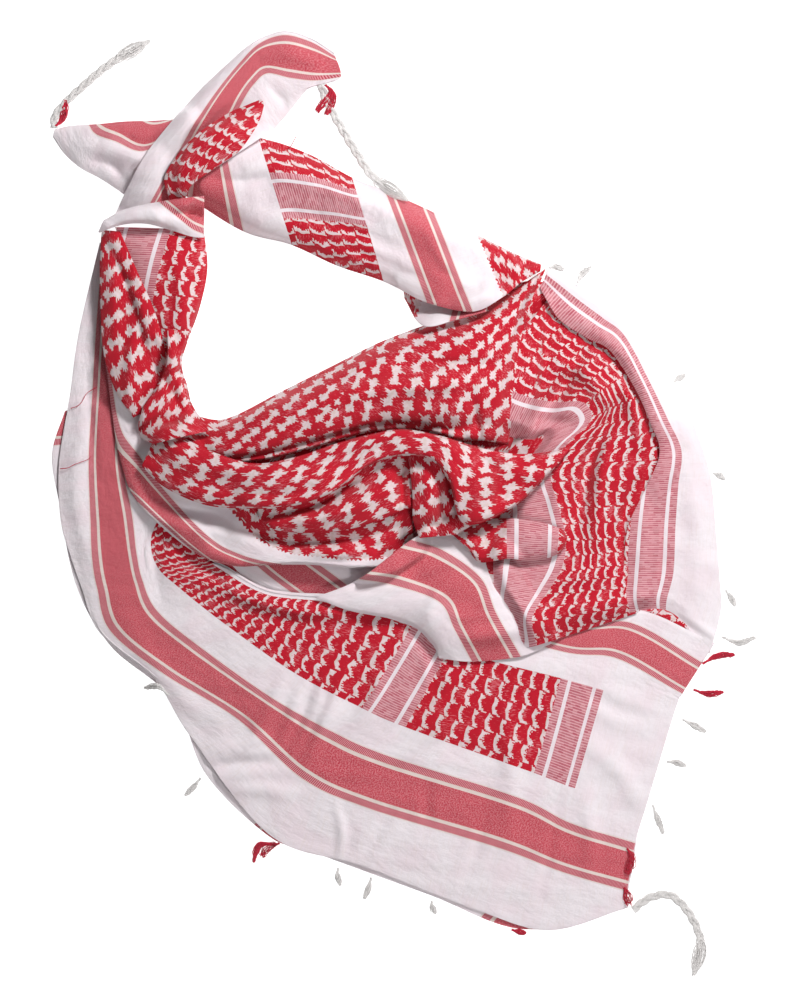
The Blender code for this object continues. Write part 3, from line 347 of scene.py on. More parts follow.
            (1.5, 16, (-28.6, 44.0, 13.4), (-30.0, 40.5), (-32.4, 35.8, 2)),
            (1.4, 12, (-32.0, 43.9, 11.2), (-33.0, 41.6), (-34.8, 37.4, 3)),
            (1.1, 8, (-35.2, 43.6, 9.4), (-36.0, 42.0, 7.6), (-37.2, 38.7, 3)),
            (0.7, 4, (-38.4, 43.4, 6), (-38.7, 42.2, 4.8), (-39.0, 40.3, 2.4)),
            (0.3, 1, (-40.1, 43.0, 4), (-40.2, 42.6, 3.4), (-40.3, 42.2, 3)),
        ),
    ),
    "right_arm": dict(
        replaces=("right_arm",), drop=0.6, run="weft",
        lines=dict(upper=26, lower=44), edges=("fold", "fold", "", "fold"),
        rows=(
            (0.9, 9, (-24.0, 39.5, 22), (-25.2, 35.6, 27)),
            (1.0, 14, (-20.6, 41.4, 22.8), (-18.4, 31.4, 35.6)),
            (1.1, 18.5, (-16.6, 42.0, 24.8), (-12.8, 29.8, 39.8)),
            (1.1, 23, (-11.0, 40.2, 26.3), (-7.5, 27.4, 42.8)),
            (1.1, 28, (-5.8, 37.4, 27.6), (-2.2, 25.6, 46.2)),
            (1.2, 32, (-2.0, 35.9, 33), (2.8, 23.1, 47)),
            (1.3, 37, (3.6, 33.4, 37.4), (8.0, 22.0, 49.6)),
            (1.2, 41, (8.6, 30.8, 41), (11.5, 23.7, 49.4)),
            (0.9, 46, (12.6, 28.8, 44), (13.6, 25.4, 48.4)),
            (0.4, 49, (15.9, 27.4, 46), (15.8, 26.7, 47)),
        ),
    ),
    "left_end": dict(
        replaces=("left_end",), run="warp", edges=("fold", "hem", "", "hem"),
        lines=dict(outer=3, bandOuter=8.5, bandInner=14, inner=18.2),
        rows=(
            (0.9, 32, (-33.6, 32.2), (-30.2, 32.4), (-28.6, 32.6, 11), (-26.4, 33.0, 15)),
            (1.2, 28, (-32.0, 35.5), (-28.1, 36.2), (-26.6, 36.4, 11), (-24.4, 36.8, 14)),
            (1.3, 23, (-29.4, 40.2), (-25.9, 40.2), (-24.0, 39.6, 12), (-20.8, 39.0, 16)),
            (1.3, 18, (-26.4, 44.0), (-23.6, 44.2), (-20.8, 43.2, 13), (-17.0, 41.6)),
            (1.1, 13.5, (-23.6, 47.3), (-21.2, 47.7), (-18.4, 46.4), (-15.2, 42.9)),
            (1.0, 9.5, (-20.6, 50.2, 5.5), (-18.6, 50.9), (-17.1, 48.3), (-14.2, 43.9)),
            (0.9, 6, (-17.3, 53.0, 7.4), (-16.4, 53.0), (-15.6, 49.5), (-13.0, 45.3)),
            (0.8, 3.5, (-13.9, 54.3, 7.8), (-13.6, 53.9), (-13.0, 49.0), (-11.9, 46.7, 17)),
            (0.6, 1.5, (-10.6, 53.5, 7.9), (-10.5, 53.1), (-10.2, 48.7), (-10.9, 47.8, 16)),
            (0.3, 0, (-7.9, 51.9, 7.9), (-7.8, 51.5), (-7.2, 49.1), (-9.4, 48.3, 16)),
        ),
    ),
    "knot_leaf": dict(
        replaces=("knot_leaf",), run="warp",
        lines=dict(outer=18.7, inner=26.4), edges=("fold", "fold", "fold", "fold"),
        rows=(
            (0.3, 29.2, (-26.6, 34.6), (-25.2, 34.8, 21)),
            (0.8, 27.0, (-27.3, 37.3), (-24.2, 36.6, 24)),
            (1.0, 24.2, (-25.6, 40.2), (-21.3, 38.7)),
            (1.0, 21.2, (-22.9, 42.8), (-18.9, 40.4)),
            (0.8, 18.4, (-20.0, 44.8), (-17.3, 42.6, 23.4)),
            (0.6, 16.8, (-18.2, 45.6), (-16.5, 44.2, 22.0)),
            (0.2, 15.4, (-16.3, 46.4), (-16.0, 46.0, 19.8)),
        ),
    ),
    "knot_loop": dict(
        replaces=("knot_loop",), run="warp", lines=dict(upper=9, lower=4), edges=("fold", "fold", "fold", ""),
        rows=(
            (0.4, 34, (-34.3, 32.4, 3.3), (-34.9, 31.1, 1.6)),
            (0.9, 31.8, (-32.0, 33.6, 5.4), (-32.2, 32.0, 3.7)),
            (1.2, 29.4, (-29.2, 34.3, 7.2), (-29.4, 32.1, 5.0)),
            (1.3, 27, (-26.6, 34.7, 10.0), (-26.6, 31.4, 6.2)),
            (1.0, 25, (-24.2, 35.0, 12.6), (-24.3, 30.7, 7.5)),
            (0.4, 23.6, (-22.8, 35.2, 13.6), (-22.9, 30.6, 8.1)),
        ),
    ),
}

# Creases in a stretch, in centimetres: start, middle and end, then width and height
creases = {
    "front_panel": (
        ((-9.6, -18.6), (-11.4, -24.0), (-14.0, -30.4), 2.2, -1.1),
        ((-6.4, -19.4), (-8.8, -25.0), (-11.2, -31.0), 1.6, 0.55),
        ((-13.0, -18.4), (-15.0, -23.0), (-18.0, -28.4), 1.8, 0.5),
        ((-3.2, -13.2), (-7.0, -16.4), (-10.8, -20.6), 1.8, -0.6),
        ((-26.0, -31.0), (-19.0, -30.2), (-12.5, -29.8), 2.0, -0.9),
        ((-23.0, -28.4), (-18.0, -28.0), (-14.8, -26.6), 1.4, 0.45),
        ((-22.0, -33.4), (-17.0, -33.0), (-12.0, -33.8), 1.8, 0.45),
        ((5.6, -19.6), (2.4, -23.6), (-4.6, -29.2), 2.2, -1.0),
        ((1.0, -14.8), (3.4, -18.2), (3.6, -22.2), 1.8, -0.7),
        ((7.6, -20.6), (4.8, -25.4), (-1.0, -30.6), 1.7, 0.6),
        ((-2.4, -18.4), (-3.4, -22.8), (-7.4, -27.0), 1.6, 0.5),
        ((-24.5, -8.6), (-14.0, -12.2), (-2.0, -13.4), 1.8, 0.8),
        ((-29.6, -2.6), (-28.6, -7.0), (-28.0, -12.0), 2.0, -0.8),
        ((-0.4, -34.0), (-2.8, -38.0), (-6.0, -43.0), 2.4, -0.6),
        ((-8.0, -34.0), (-7.0, -38.0), (-7.4, -42.0), 1.0, 0.4),
        ((3.0, -31.6), (2.8, -35.0), (3.0, -38.4), 1.8, -0.45),
        ((9.6, -35.0), (8.6, -40.0), (6.4, -45.0), 2.4, -0.6),
        ((11.0, -22.0), (12.6, -30.0), (12.0, -42.0), 2.2, 0.4),
        ((18.0, -34.0), (17.0, -40.0), (15.4, -47.0), 1.8, -0.45),
        ((21.0, -33.0), (21.8, -39.0), (21.4, -45.0), 2.0, 0.45),
        ((21.0, -21.4), (25.0, -24.0), (29.6, -25.0), 2.2, -0.6),
        ((20.0, -27.0), (25.0, -31.0), (27.6, -36.0), 2.4, 0.5),
        ((-37.0, 10.0), (-37.6, 0.0), (-35.0, -10.0), 2.2, 0.45),
        ((-36.6, 19.0), (-36.0, 10.0), (-35.4, 2.0), 1.4, -0.35),
        ((-33.0, -12.0), (-27.0, -21.0), (-20.0, -26.4), 2.6, 0.45),
    ),
    "inner_panel": (
        ((-17.0, -3.4), (-8.0, -4.3), (2.0, -2.2), 1.5, -1.1),
        ((-15.0, -5.8), (-7.0, -5.9), (2.0, -4.0), 1.4, 0.5),
        ((-29.4, 1.6), (-25.0, -0.6), (-18.6, -1.4), 1.7, -1.3),
        ((-32.0, 3.4), (-29.0, -1.4), (-24.0, -3.4), 1.4, 0.6),
        ((-24.4, -3.4), (-20.0, -3.4), (-15.6, -5.6), 1.6, 0.5),
    ),
    "second_fold": (
        ((-18.0, -1.6), (-9.6, -0.2), (-1.0, 5.0), 1.5, -1.3),
        ((-15.6, -2.6), (-7.4, -1.2), (0.0, 2.4), 1.5, 0.6),
        ((0.4, 7.6), (-0.1, 2.0), (0.4, -3.6), 1.3, -1.4),
    ),
    "middle_fold": (
        ((2.8, 5.6), (3.4, 1.6), (2.8, -2.6), 1.6, 0.45),
        ((5.4, 4.0), (5.6, 1.0), (6.4, -2.6), 1.2, -0.4),
    ),
    "main_swag": (
        ((-27.0, 4.6), (-14.0, 3.4), (0.0, 7.6), 3.2, 0.5),
        ((-22.0, 1.6), (-12.0, 1.0), (-5.0, 4.6), 1.2, -0.3),
        ((3.6, 7.6), (7.4, 4.6), (8.6, -0.6), 1.8, 0.5),
        ((8.6, 5.8), (10.6, 3.0), (10.8, -0.8), 1.4, -0.45),
        ((11.0, 4.6), (15.0, 3.0), (18.0, 5.0), 1.6, 0.35),
    ),
    "right_panel": (
        ((17.0, 16.4), (21.4, 14.6), (23.8, 10.6), 2.0, 1.0),
        ((13.6, 8.4), (18.0, 12.4), (21.4, 19.0), 2.2, -1.5),
        ((24.6, 14.6), (26.8, 10.6), (27.6, 5.4), 1.9, 0.9),
        ((25.4, 12.6), (21.8, 5.0), (19.6, -4.4), 2.4, -1.5),
        ((23.8, 8.8), (22.8, 2.0), (22.2, -6.0), 1.7, 0.7),
        ((18.4, 4.4), (17.6, 0.6), (18.2, -4.0), 1.3, 0.4),
        ((27.6, 3.4), (25.4, -2.0), (25.0, -9.0), 1.6, -0.9),
        ((14.0, 9.6), (17.0, 9.4), (20.4, 9.0), 1.8, -0.9),
        ((16.8, -9.6), (20.0, -8.6), (24.4, -8.4), 2.2, 0.5),
    ),
    "right_rim": (
        ((19.6, 21.4), (25.0, 17.4), (29.4, 11.0), 1.4, 0.5),
        ((32.0, 6.0), (34.0, -2.0), (33.6, -12.0), 2.4, 0.4),
        ((28.0, 3.0), (29.4, -4.0), (28.6, -12.0), 1.6, -0.35),
    ),
    "right_arm": (
        ((-20.0, 39.6), (-8.0, 36.0), (10.0, 28.6), 2.6, 0.7),
        ((-17.0, 34.6), (-7.0, 31.6), (4.0, 27.4), 2.4, -0.6),
        ((-12.0, 31.5), (-4.0, 28.5), (4.0, 25.0), 1.4, -0.4),
        ((-23.0, 37.6), (-18.0, 37.0), (-13.0, 38.4), 1.4, -0.5),
        ((2.0, 32.4), (4.6, 28.0), (8.6, 24.0), 1.4, 0.35),
    ),
    "top_roll": (
        ((-26.0, 1.6), (-10.0, 5.0), (4.0, 7.6), 3.4, -3.0),
        ((-4.0, 7.4), (6.0, 6.8), (17.0, 4.8), 3.4, -2.8),
        ((-23.0, 7.4), (-7.0, 12.2), (9.0, 13.8), 2.6, 0.8),
        ((-3.0, 15.4), (4.0, 15.9), (11.6, 15.6), 1.5, -0.7),
        ((-6.0, 13.0), (2.0, 13.4), (9.0, 13.6), 1.5, 0.4),
        ((8.0, 12.6), (8.4, 9.6), (9.2, 7.0), 1.2, -0.8),
    ),
    "left_end": (
        ((-28.6, 36.6), (-22.8, 42.6), (-16.8, 48.4), 1.5, -0.8),
        ((-27.0, 41.6), (-22.6, 46.6), (-16.8, 51.8), 1.8, 0.4),
        ((-16.6, 51.2), (-13.0, 51.8), (-9.0, 50.6), 2.0, 0.5),
        ((-16.0, 48.4), (-14.0, 46.6), (-13.4, 45.0), 1.2, -0.35),
    ),
    "left_arm_outer": (
        ((-28.4, 19.2), (-28.2, 16.0), (-29.8, 11.0), 2.2, -1.6),
        ((-30.6, 22.0), (-31.2, 16.0), (-31.6, 11.4), 1.3, 0.6),
        ((-33.6, 29.0), (-33.2, 24.0), (-33.0, 16.0), 1.6, 0.4),
        ((-32.6, 26.6), (-31.2, 25.2), (-30.0, 25.6), 1.2, -0.6),
    ),
    "left_arm_inner": (
        ((-26.6, 30.0), (-25.4, 24.0), (-26.0, 18.6), 1.8, 0.5),
    ),
    "left_arm_lower": (
        ((-28.4, 15.6), (-26.6, 12.6), (-26.0, 9.0), 1.2, -0.7),
        ((-26.6, 16.0), (-25.4, 12.6), (-24.4, 9.4), 1.0, 0.5),
    ),
    "tail_end": (
        ((-38.0, 41.6), (-32.0, 40.2), (-27.0, 38.0), 1.8, 0.6),
        ((-36.6, 39.6), (-33.6, 39.0), (-31.6, 36.6), 1.4, -0.5),
        ((-33.6, 43.0), (-30.2, 41.4), (-26.6, 42.6), 1.3, -0.5),
    ),
    "band_pleat": (
        ((-4.0, -10.6), (2.0, -8.0), (7.6, -5.6), 2.0, 0.5),
        ((5.0, -12.6), (8.6, -12.6), (11.6, -9.6), 1.6, 0.4),
        ((2.6, -14.4), (3.8, -10.8), (7.0, -8.0), 1.6, 0.5),
        ((6.6, -15.6), (10.6, -15.2), (14.8, -14.2), 1.8, 0.7),
    ),
}

# Hidden layers under each heap, as sections: height, then its two edges
heaps = {
    "left_arm_layers": (
        (1.2, (-33.1, 30.6), (-24.2, 30.6)),
        (1.5, (-33.2, 25.0), (-23.8, 25.0)),
        (1.5, (-32.8, 19.0), (-25.8, 18.6)),
        (1.5, (-30.8, 13.4), (-26.2, 13.6)),
        (1.0, (-28.6, 10.2), (-25.4, 10.8)),
    ),
    "cowl_layers": (
        (0.8, (-27.2, 4.6), (-26.2, 6.6)),
        (1.9, (-22.6, 1.4), (-21.6, 7.6)),
        (2.5, (-15.0, -2.4), (-13.2, 10.8)),
        (2.8, (-6.0, -4.0), (-3.6, 15.4)),
        (2.8, (2.6, -1.6), (5.0, 18.2)),
        (2.4, (9.4, 1.6), (11.0, 21.4)),
        (1.7, (13.2, 8.0), (13.8, 23.0)),
        (0.8, (14.6, 15.0), (15.0, 23.0)),
    ),
    "right_arm_layers": (
        (1.2, (-22.6, 36.2), (-21.4, 39.4)),
        (1.6, (-16.4, 32.4), (-17.0, 39.8)),
        (1.6, (-9.4, 29.8), (-10.8, 38.2)),
        (1.7, (-1.0, 26.9), (-2.4, 34.4)),
        (1.7, (6.2, 24.0), (5.2, 30.8)),
        (1.0, (12.4, 26.0), (11.6, 28.2)),
    ),
}
heapForm = {"breadth": 2.6, "drop": 0.75}

# Tassels knotted from the fringe, in centimetres: yarn, then where each leaves the edge, bends and ends
tassels = {
    "edge_tassel_01": ("white", (16.9, 27.1), (17.6, 27.2), (18.6, 26.9)),
    "edge_tassel_02": ("white", (20.2, 25.3), (20.7, 26.3), (21.7, 27.2)),
    "edge_tassel_03": ("white", (31.3, 13.9), (31.8, 14.3), (32.6, 14.7)),
    "edge_tassel_04": ("white", (35.8, 3.4), (36.4, 3.2), (37.2, 2.7)),
    "edge_tassel_05": ("white", (37.3, -10.1), (37.8, -10.8), (38.4, -11.9)),
    "edge_tassel_06": ("white", (36.9, -15.5), (38.8, -16.2), (40.7, -15.6)),
    "edge_tassel_07": ("red", (34.6, -18.6), (36.4, -17.7), (38.3, -17.6)),
    "edge_tassel_08": ("red", (33.6, -21.6), (35.2, -22.1), (37.0, -21.9)),
    "edge_tassel_09": ("white", (32.3, -25.0), (33.4, -25.6), (35.0, -26.5)),
    "edge_tassel_10": ("white", (30.5, -29.9), (31.5, -30.0), (32.7, -30.4)),
    "edge_tassel_11": ("white", (28.9, -34.9), (29.4, -36.4), (30.1, -38.2)),
    "edge_tassel_12": ("white", (-27.0, -22.2), (-28.2, -21.2), (-29.8, -21.4)),
    "edge_tassel_13": ("white", (-23.3, -31.8), (-24.1, -32.8), (-25.1, -33.8)),
    "edge_tassel_14": ("red", (-14.6, -39.4), (-16.6, -39.6), (-17.2, -41.5)),
    "edge_tassel_15": ("white", (-7.4, -42.2), (-7.5, -43.0), (-7.2, -44.2)),
    "edge_tassel_16": ("white", (-3.6, -43.3), (-3.9, -44.4), (-4.4, -45.7)),
    "edge_tassel_17": ("white", (3.4, -46.0), (3.4, -46.6), (3.9, -47.4)),
    "edge_tassel_18": ("red", (12.6, -49.3), (13.2, -49.5), (14.2, -49.7)),
}
tasselForm = {
    "Yarns": 8, "Yarn radius": 0.0005, "Plait width": 0.0004, "Plait height": 0.0003, "Bundle radius": 0.0006,
    "Turns": 2.0, "Tuft start": 0.2, "Tuft width": 0.0044, "Tuft height": 0.0014, "Tuft point": 0.9,
    "Points": 17, "Wander": 0.0022,
}

# Corner cords, in centimetres: route, then the loose end. Each tie is a tuft of red yarn at a cord's root
braids = {
    "corner_braid_1": dict(
        route=((-40.2, 43.2), (-40.1, 44.6), (-39.2, 45.8), (-37.6, 47.4), (-33.8, 50.6), (-29.2, 53.3)),
        ties=(((-40.0, 43.4), (-39.2, 44.4), (-38.9, 46.4)),),
    ),
    "corner_braid_2": dict(
        route=((-9.4, 48.2), (-8.8, 46.4), (-7.6, 44.2), (-5.2, 40.2), (-3.2, 37.4), (0.6, 34.8)),
        ties=(((-8.9, 48.2), (-8.3, 47.2), (-9.9, 45.2)), ((-8.6, 48.0), (-8.0, 46.8), (-8.8, 44.8))),
    ),
    "corner_braid_3": dict(
        route=((26.6, -47.0), (28.6, -45.6), (31.0, -45.4), (33.2, -47.6), (34.4, -50.8), (33.6, -54.6)),
        ties=(),
    ),
}
braidForm = {
    "Yarns": 8, "Yarn radius": 0.00072, "Plait width": 0.0028, "Plait height": 0.0008,
    "Bundle radius": 0.0016, "Tuft start": 0.72, "Tuft width": 0.0098, "Tuft height": 0.0024,
    "Tuft point": 0.97, "Points": 104, "Wander": 0.0016,
}
braidTurnsPerCm = 0.24
tieForm = {**tasselForm, "Tuft start": 0.1, "Tuft width": 0.0055, "Tuft height": 0.0018, "Tuft point": 0.8}

# Red yarn that has come loose, in centimetres
looseYarn = {
    "loose_thread_1": ("thread", (-35.3, 13.3), (-36.4, 12.6), (-37.0, 11.6), (-37.6, 11.1), (-38.3, 10.9)),
    "loose_thread_2": ("thread", (-39.5, 3.9), (-38.6, 4.0), (-37.8, 4.4), (-36.4, 4.9), (-35.9, 5.3)),
    "loose_thread_3": ("thread", (-13.0, 40.9), (-12.6, 41.6), (-12.3, 42.2)),
    "fringe_fluff_1": ("fluff", (25.9, -39.9), (26.5, -41.0), (26.0, -42.8)),
    "fringe_fluff_2": ("fluff", (25.6, -44.4), (26.0, -45.4), (26.1, -46.3)),
    "fringe_fluff_3": ("fluff", (-14.2, -39.3), (-15.6, -39.9), (-16.2, -40.9)),
}
looseForms = {
    "thread": {
        **tasselForm, "Yarns": 1, "Yarn radius": 0.00028, "Plait width": 0.0001, "Plait height": 0.0001,
        "Bundle radius": 0.0002, "Tuft start": 0.9, "Tuft width": 0.0004, "Points": 40, "Wander": 0.001,
    },
    "fluff": {**tieForm, "Yarns": 6, "Yarn radius": 0.0004, "Tuft width": 0.0062, "Wander": 0.005},
}
# How cords lie, in metres: the height of each kind's middle, what they bridge over, and their steepest slope
cordLay = {"tassel": 0.0022, "braid": 0.0033, "tie": 0.0042, "loose": 0.002, "reach": 0.004, "slope": 0.7}
seeds = {"cloth": 100, "braid": 40, "tie": 60, "tiesPerBraid": 7, "loose": 90}


def spline(values, places):
    # A smooth curve through the values, at places counted in values
    values = np.asarray(values, float)
    places = np.asarray(places, float)
    last = len(values) - 1
    start = np.clip(places.astype(int), 0, last - 1)
    t = (places - start).reshape((len(places),) + (1,) * (values.ndim - 1))
    if last == 1:
        return values[0] * (1 - t) + values[1] * t
    padded = np.concatenate([[2 * values[0] - values[1]], values, [2 * values[-1] - values[-2]]])
    a, b, c, d = (padded[start + step] for step in range(4))
    return 0.5 * (2 * b + (c - a) * t + (2 * a - 5 * b + 4 * c - d) * t**2 + (3 * b - a - 3 * c + d) * t**3)


def evenPlaces(net, grain):
    # Places along the first axis of a net that are about one grain apart
    fine = np.linspace(0, len(net) - 1, 12 * (len(net) - 1) + 1)
    points = spline(net[..., :2], fine) * cm
    steps = np.linalg.norm(np.diff(points, axis=0), axis=2)
    length = np.concatenate([[0], np.cumsum(0.5 * steps.mean(axis=1) + 0.5 * steps.max(axis=1))])
    count = max(4, round(length[-1] / grain))
    return np.interp(np.linspace(0, length[-1], count + 1), length, fine)


class HeightMap:
    # The greatest height reached so far over each cell of the surface
    def __init__(self):
        self.corner = np.array([mapBox["west"], mapBox["south"]]) * cm
        spans = (mapBox["east"] - mapBox["west"], mapBox["north"] - mapBox["south"])
        self.size = [round(span * cm / lay["cell"]) for span in spans]
        self.top = np.full(self.size, -lay["gap"])

    def lookUp(self, field, points):
        place = (points[..., :2] - self.corner) / lay["cell"] - 0.5
        low = np.floor(place).astype(int)
        s, t = (place - low)[..., 0], (place - low)[..., 1]
        i = [np.clip(low[..., 0] + k, 0, self.size[0] - 1) for k in (0, 1)]
        j = [np.clip(low[..., 1] + k, 0, self.size[1] - 1) for k in (0, 1)]
        return ((field[i[0], j[0]] * (1 - s) + field[i[1], j[0]] * s) * (1 - t)
                + (field[i[0], j[1]] * (1 - s) + field[i[1], j[1]] * s) * t)

    def dilated(self, reach):
        size = round(reach / lay["cell"])
        wide = np.pad(self.top, size, mode="edge")
        best = self.top.copy()
        for i in range(-size, size + 1):
            for j in range(-size, size + 1):
                if i * i + j * j <= size * size + 1:
                    moved = wide[size + i:size + i + best.shape[0], size + j:size + j + best.shape[1]]
                    np.maximum(best, moved, out=best)
        return best

    def under(self, points):
        # The height right under each point
        return self.lookUp(self.dilated(1.5 * lay["cell"]), points)

    def softened(self, reach):
        return blurred(self.dilated(2 * reach), round(reach / lay["cell"]) // 2, 2)

    def add(self, grid, top):
        field = np.concatenate([grid[..., :2], top[..., None]], axis=2)
        longest = max(np.linalg.norm(np.diff(grid[..., :2], axis=axis), axis=2).max() for axis in (0, 1))
        steps = max(2, math.ceil(longest / (0.7 * lay["cell"])))
        share = (np.arange(steps) + 0.5) / steps
        s, t = (part[..., None] for part in np.meshgrid(share, share, indexing="ij"))
        corners = (field[:-1, :-1], field[1:, :-1], field[1:, 1:], field[:-1, 1:])
        a, b, c, d = (corner[:, :, None, None, :] for corner in corners)
        points = a * (1 - s) * (1 - t) + b * s * (1 - t) + c * s * t + d * (1 - s) * t
        cell = ((points[..., :2] - self.corner) / lay["cell"]).astype(int)
        i, j = (np.clip(cell[..., k], 0, self.size[k] - 1) for k in (0, 1))
        np.maximum.at(self.top, (i, j), points[..., 2])


def blurred(field, half, times):
    for axis in (0, 1):
        for _ in range(times):
            wide = np.pad(field, [(half, half) if axis == k else (0, 0) for k in (0, 1)], mode="edge")
            total = np.cumsum(wide, axis=axis)
            total = np.concatenate([np.zeros_like(np.take(total, [0], axis=axis)), total], axis=axis)
            span = field.shape[axis]
            field = (np.take(total, np.arange(2 * half + 1, 2 * half + 1 + span), axis=axis)
                     - np.take(total, np.arange(span), axis=axis)) / (2 * half + 1)
    return field


def creased(name, grid):
    moved = np.zeros(grid.shape[:2])
    for first, middle, last, width, height in creases.get(name, ()):
        route = spline([first, middle, last], np.linspace(0, 2, 41)) * cm
        gaps = np.linalg.norm(grid[:, :, None, :2] - route[None, None], axis=3)
        along = (gaps.argmin(axis=2) + 1) / 42
        moved += height * cm * np.sin(np.pi * along) * np.exp(-((gaps.min(axis=2) / (0.5 * width * cm)) ** 2))
    return moved


def undulating(grid, seed):
    # Gentle unevenness, as woven cotton has once it is let fall
    random = np.random.default_rng(seed)
    moved = np.zeros(grid.shape[:2])
    for _ in range(waves["count"]):
        turn, length = random.uniform(0, math.pi), random.uniform(*waves["lengths"])
        phase, size = random.uniform(0, 2 * math.pi), random.uniform(*waves["heights"])
        wave = grid[..., 0] * math.cos(turn) + grid[..., 1] * math.sin(turn)
        bend = waves["bend"] * np.sin(2 * math.pi * grid[..., 1] / waves["bendLength"] + phase)
        moved += size * np.sin(2 * math.pi * (wave + bend) / length + phase)
    return moved


def settled(height, floor):
    # Lifts the cloth smoothly wherever it would cut into what it lies on
    for _ in range(8):
        short = np.maximum(floor - height, 0)
        if short.max() < 2e-5:
            break
        wide = np.pad(short, 2, mode="edge")
        for i in range(5):
            for j in range(5):
                np.maximum(short, wide[i:i + short.shape[0], j:j + short.shape[1]], out=short)
        height = height + blurred(short, 1, 2)
    return np.maximum(height, floor)


def steepness(grid, height, most):
    field = np.concatenate([grid[..., :2], height[..., None]], axis=2)
    normal = np.cross(np.gradient(field, axis=0), np.gradient(field, axis=1))
    return np.minimum(np.linalg.norm(normal, axis=2) / np.maximum(np.abs(normal[..., 2]), 1e-12), most)


def turnedUnder(points, uv, kind):
    # Rings of points past an edge: over its bend, then back underneath. points[0] is the edge, going inwards
    radius = lay["hemRadius" if kind == "hem" else "foldRadius"]
    outward = points[0, :, :2] - points[2, :, :2]
    onward = np.gradient(points[0, :, :2], axis=0)
    onward /= np.maximum(np.linalg.norm(onward, axis=1), 1e-9)[:, None]
    outward -= onward * (outward * onward).sum(axis=1)[:, None]
    outward /= np.maximum(np.linalg.norm(outward, axis=1), 1e-9)[:, None]
    inward = np.linalg.norm(points[0] - points[1], axis=1)[:, None]
    uvStep = (uv[0] - uv[1]) / np.maximum(inward, 0.0005)
    rings, ringUvs = [], []
    for turn in (0.2, 0.4, 0.6, 0.8, 1.0):
        angle = math.pi * turn
        ring = points[0].copy()
        ring[:, :2] += outward * radius * math.sin(angle)
        ring[:, 2] -= radius * (1 - math.cos(angle))
        rings.append(ring)
        ringUvs.append(uv[0] + uvStep * radius * angle)
    run = radius * math.pi
    for step in range(1, max(2, round(lay["turnedUnder"] / lay["grain"])) + 1):
        if step >= len(points) - 1:
            break
        ring = points[step].copy()
        ring[:, 2] -= 2 * radius
        rings.append(ring)
        ringUvs.append(uv[0] + uvStep * (run + step * lay["grain"]))
    return np.array(rings), np.array(ringUvs)


def facesOf(ids):
    # Four-sided faces between the points of a grid
    return np.stack([ids[:-1, :-1], ids[1:, :-1], ids[1:, 1:], ids[:-1, 1:]], axis=2).reshape(-1, 4)


def clothMesh(name, points, uv, edges):
    # points: rows by columns, in metres; uv in centimetres of the cut. The edges are the first and the last
    # column, then the first and the last row
    rows, columns = points.shape[:2]
    index = np.arange(rows * columns).reshape(rows, columns)
    allPoints, allUvs = [points.reshape(-1, 3)], [uv.reshape(-1, 2)]
    quads = [facesOf(index)]
    total = rows * columns
    turned = ((points.transpose(1, 0, 2), uv.transpose(1, 0, 2), index[:, 0]),
              (points.transpose(1, 0, 2)[::-1], uv.transpose(1, 0, 2)[::-1], index[:, -1]),
              (points, uv, index[0]), (points[::-1], uv[::-1], index[-1]))
    for side, (kind, (net, netUv, edge)) in enumerate(zip(edges, turned)):
        if kind not in ("fold", "hem", "part"):
            continue
        rings, ringUvs = turnedUnder(net, netUv, kind)
        count = len(edge)
        ids = np.concatenate([edge[None], total + np.arange(len(rings) * count).reshape(len(rings), count)])
        total += len(rings) * count
        strip = facesOf(ids)
        quads.append(strip[:, ::-1] if side in (1, 2) else strip)
        allPoints.append(rings.reshape(-1, 3))
        allUvs.append(ringUvs.reshape(-1, 2))
    allPoints, allUvs, quads = np.concatenate(allPoints), np.concatenate(allUvs), np.concatenate(quads)
    allPoints[:, 2] = np.maximum(allPoints[:, 2], lay["cloth"])
    a, b, d = (allPoints[quads[: (rows - 1) * (columns - 1), k]] for k in (0, 1, 3))
    if np.cross(b - a, d - a)[:, 2].sum() < 0:
        quads = quads[:, ::-1]
    mesh = bpy.data.meshes.new(name)
    mesh.from_pydata(allPoints.tolist(), [], quads.tolist())
    layer = mesh.uv_layers.new(name="UVMap")
    corners = np.empty(len(mesh.loops), dtype=np.int32)
    mesh.loops.foreach_get("vertex_index", corners)
    layer.data.foreach_set("uv", (allUvs[corners] / cut["side"]).ravel())
    mesh.shade_smooth()
    piece = bpy.data.objects.new(name, mesh)
    bpy.context.scene.collection.objects.link(piece)
    thick = piece.modifiers.new("Cloth thickness", "SOLIDIFY")
    thick.thickness = lay["cloth"]
    thick.offset = -1.0
    thick.use_rim = True
    corner = allPoints[quads]
    crossed = np.cross(corner[:, 2] - corner[:, 0], corner[:, 3] - corner[:, 1])
    area = float(0.5 * np.linalg.norm(crossed, axis=1).sum())
    flat = allUvs[quads] * cm
    across, along = flat[:, 2] - flat[:, 0], flat[:, 3] - flat[:, 1]
    woven = float(0.5 * np.abs(across[:, 0] * along[:, 1] - across[:, 1] * along[:, 0]).sum())
    print("laid area over woven area", name, round(area / woven, 2))
    # The cut is scaled to the area as laid, so it isn't the woven size where the two areas differ
    return piece, [side * math.sqrt(area / woven) for side in cutSize(allUvs * cm)], area


def cutSize(places):
    # The sides of the smallest rectangle round the piece's place on the square
    sides = []
    for degrees in range(0, 90, 3):
        turn = math.radians(degrees)
        along = places @ np.array([math.cos(turn), math.sin(turn)])
        across = places @ np.array([-math.sin(turn), math.cos(turn)])
        sides.append((float(np.ptp(along)), float(np.ptp(across))))
    return min(sides, key=lambda pair: pair[0] * pair[1])


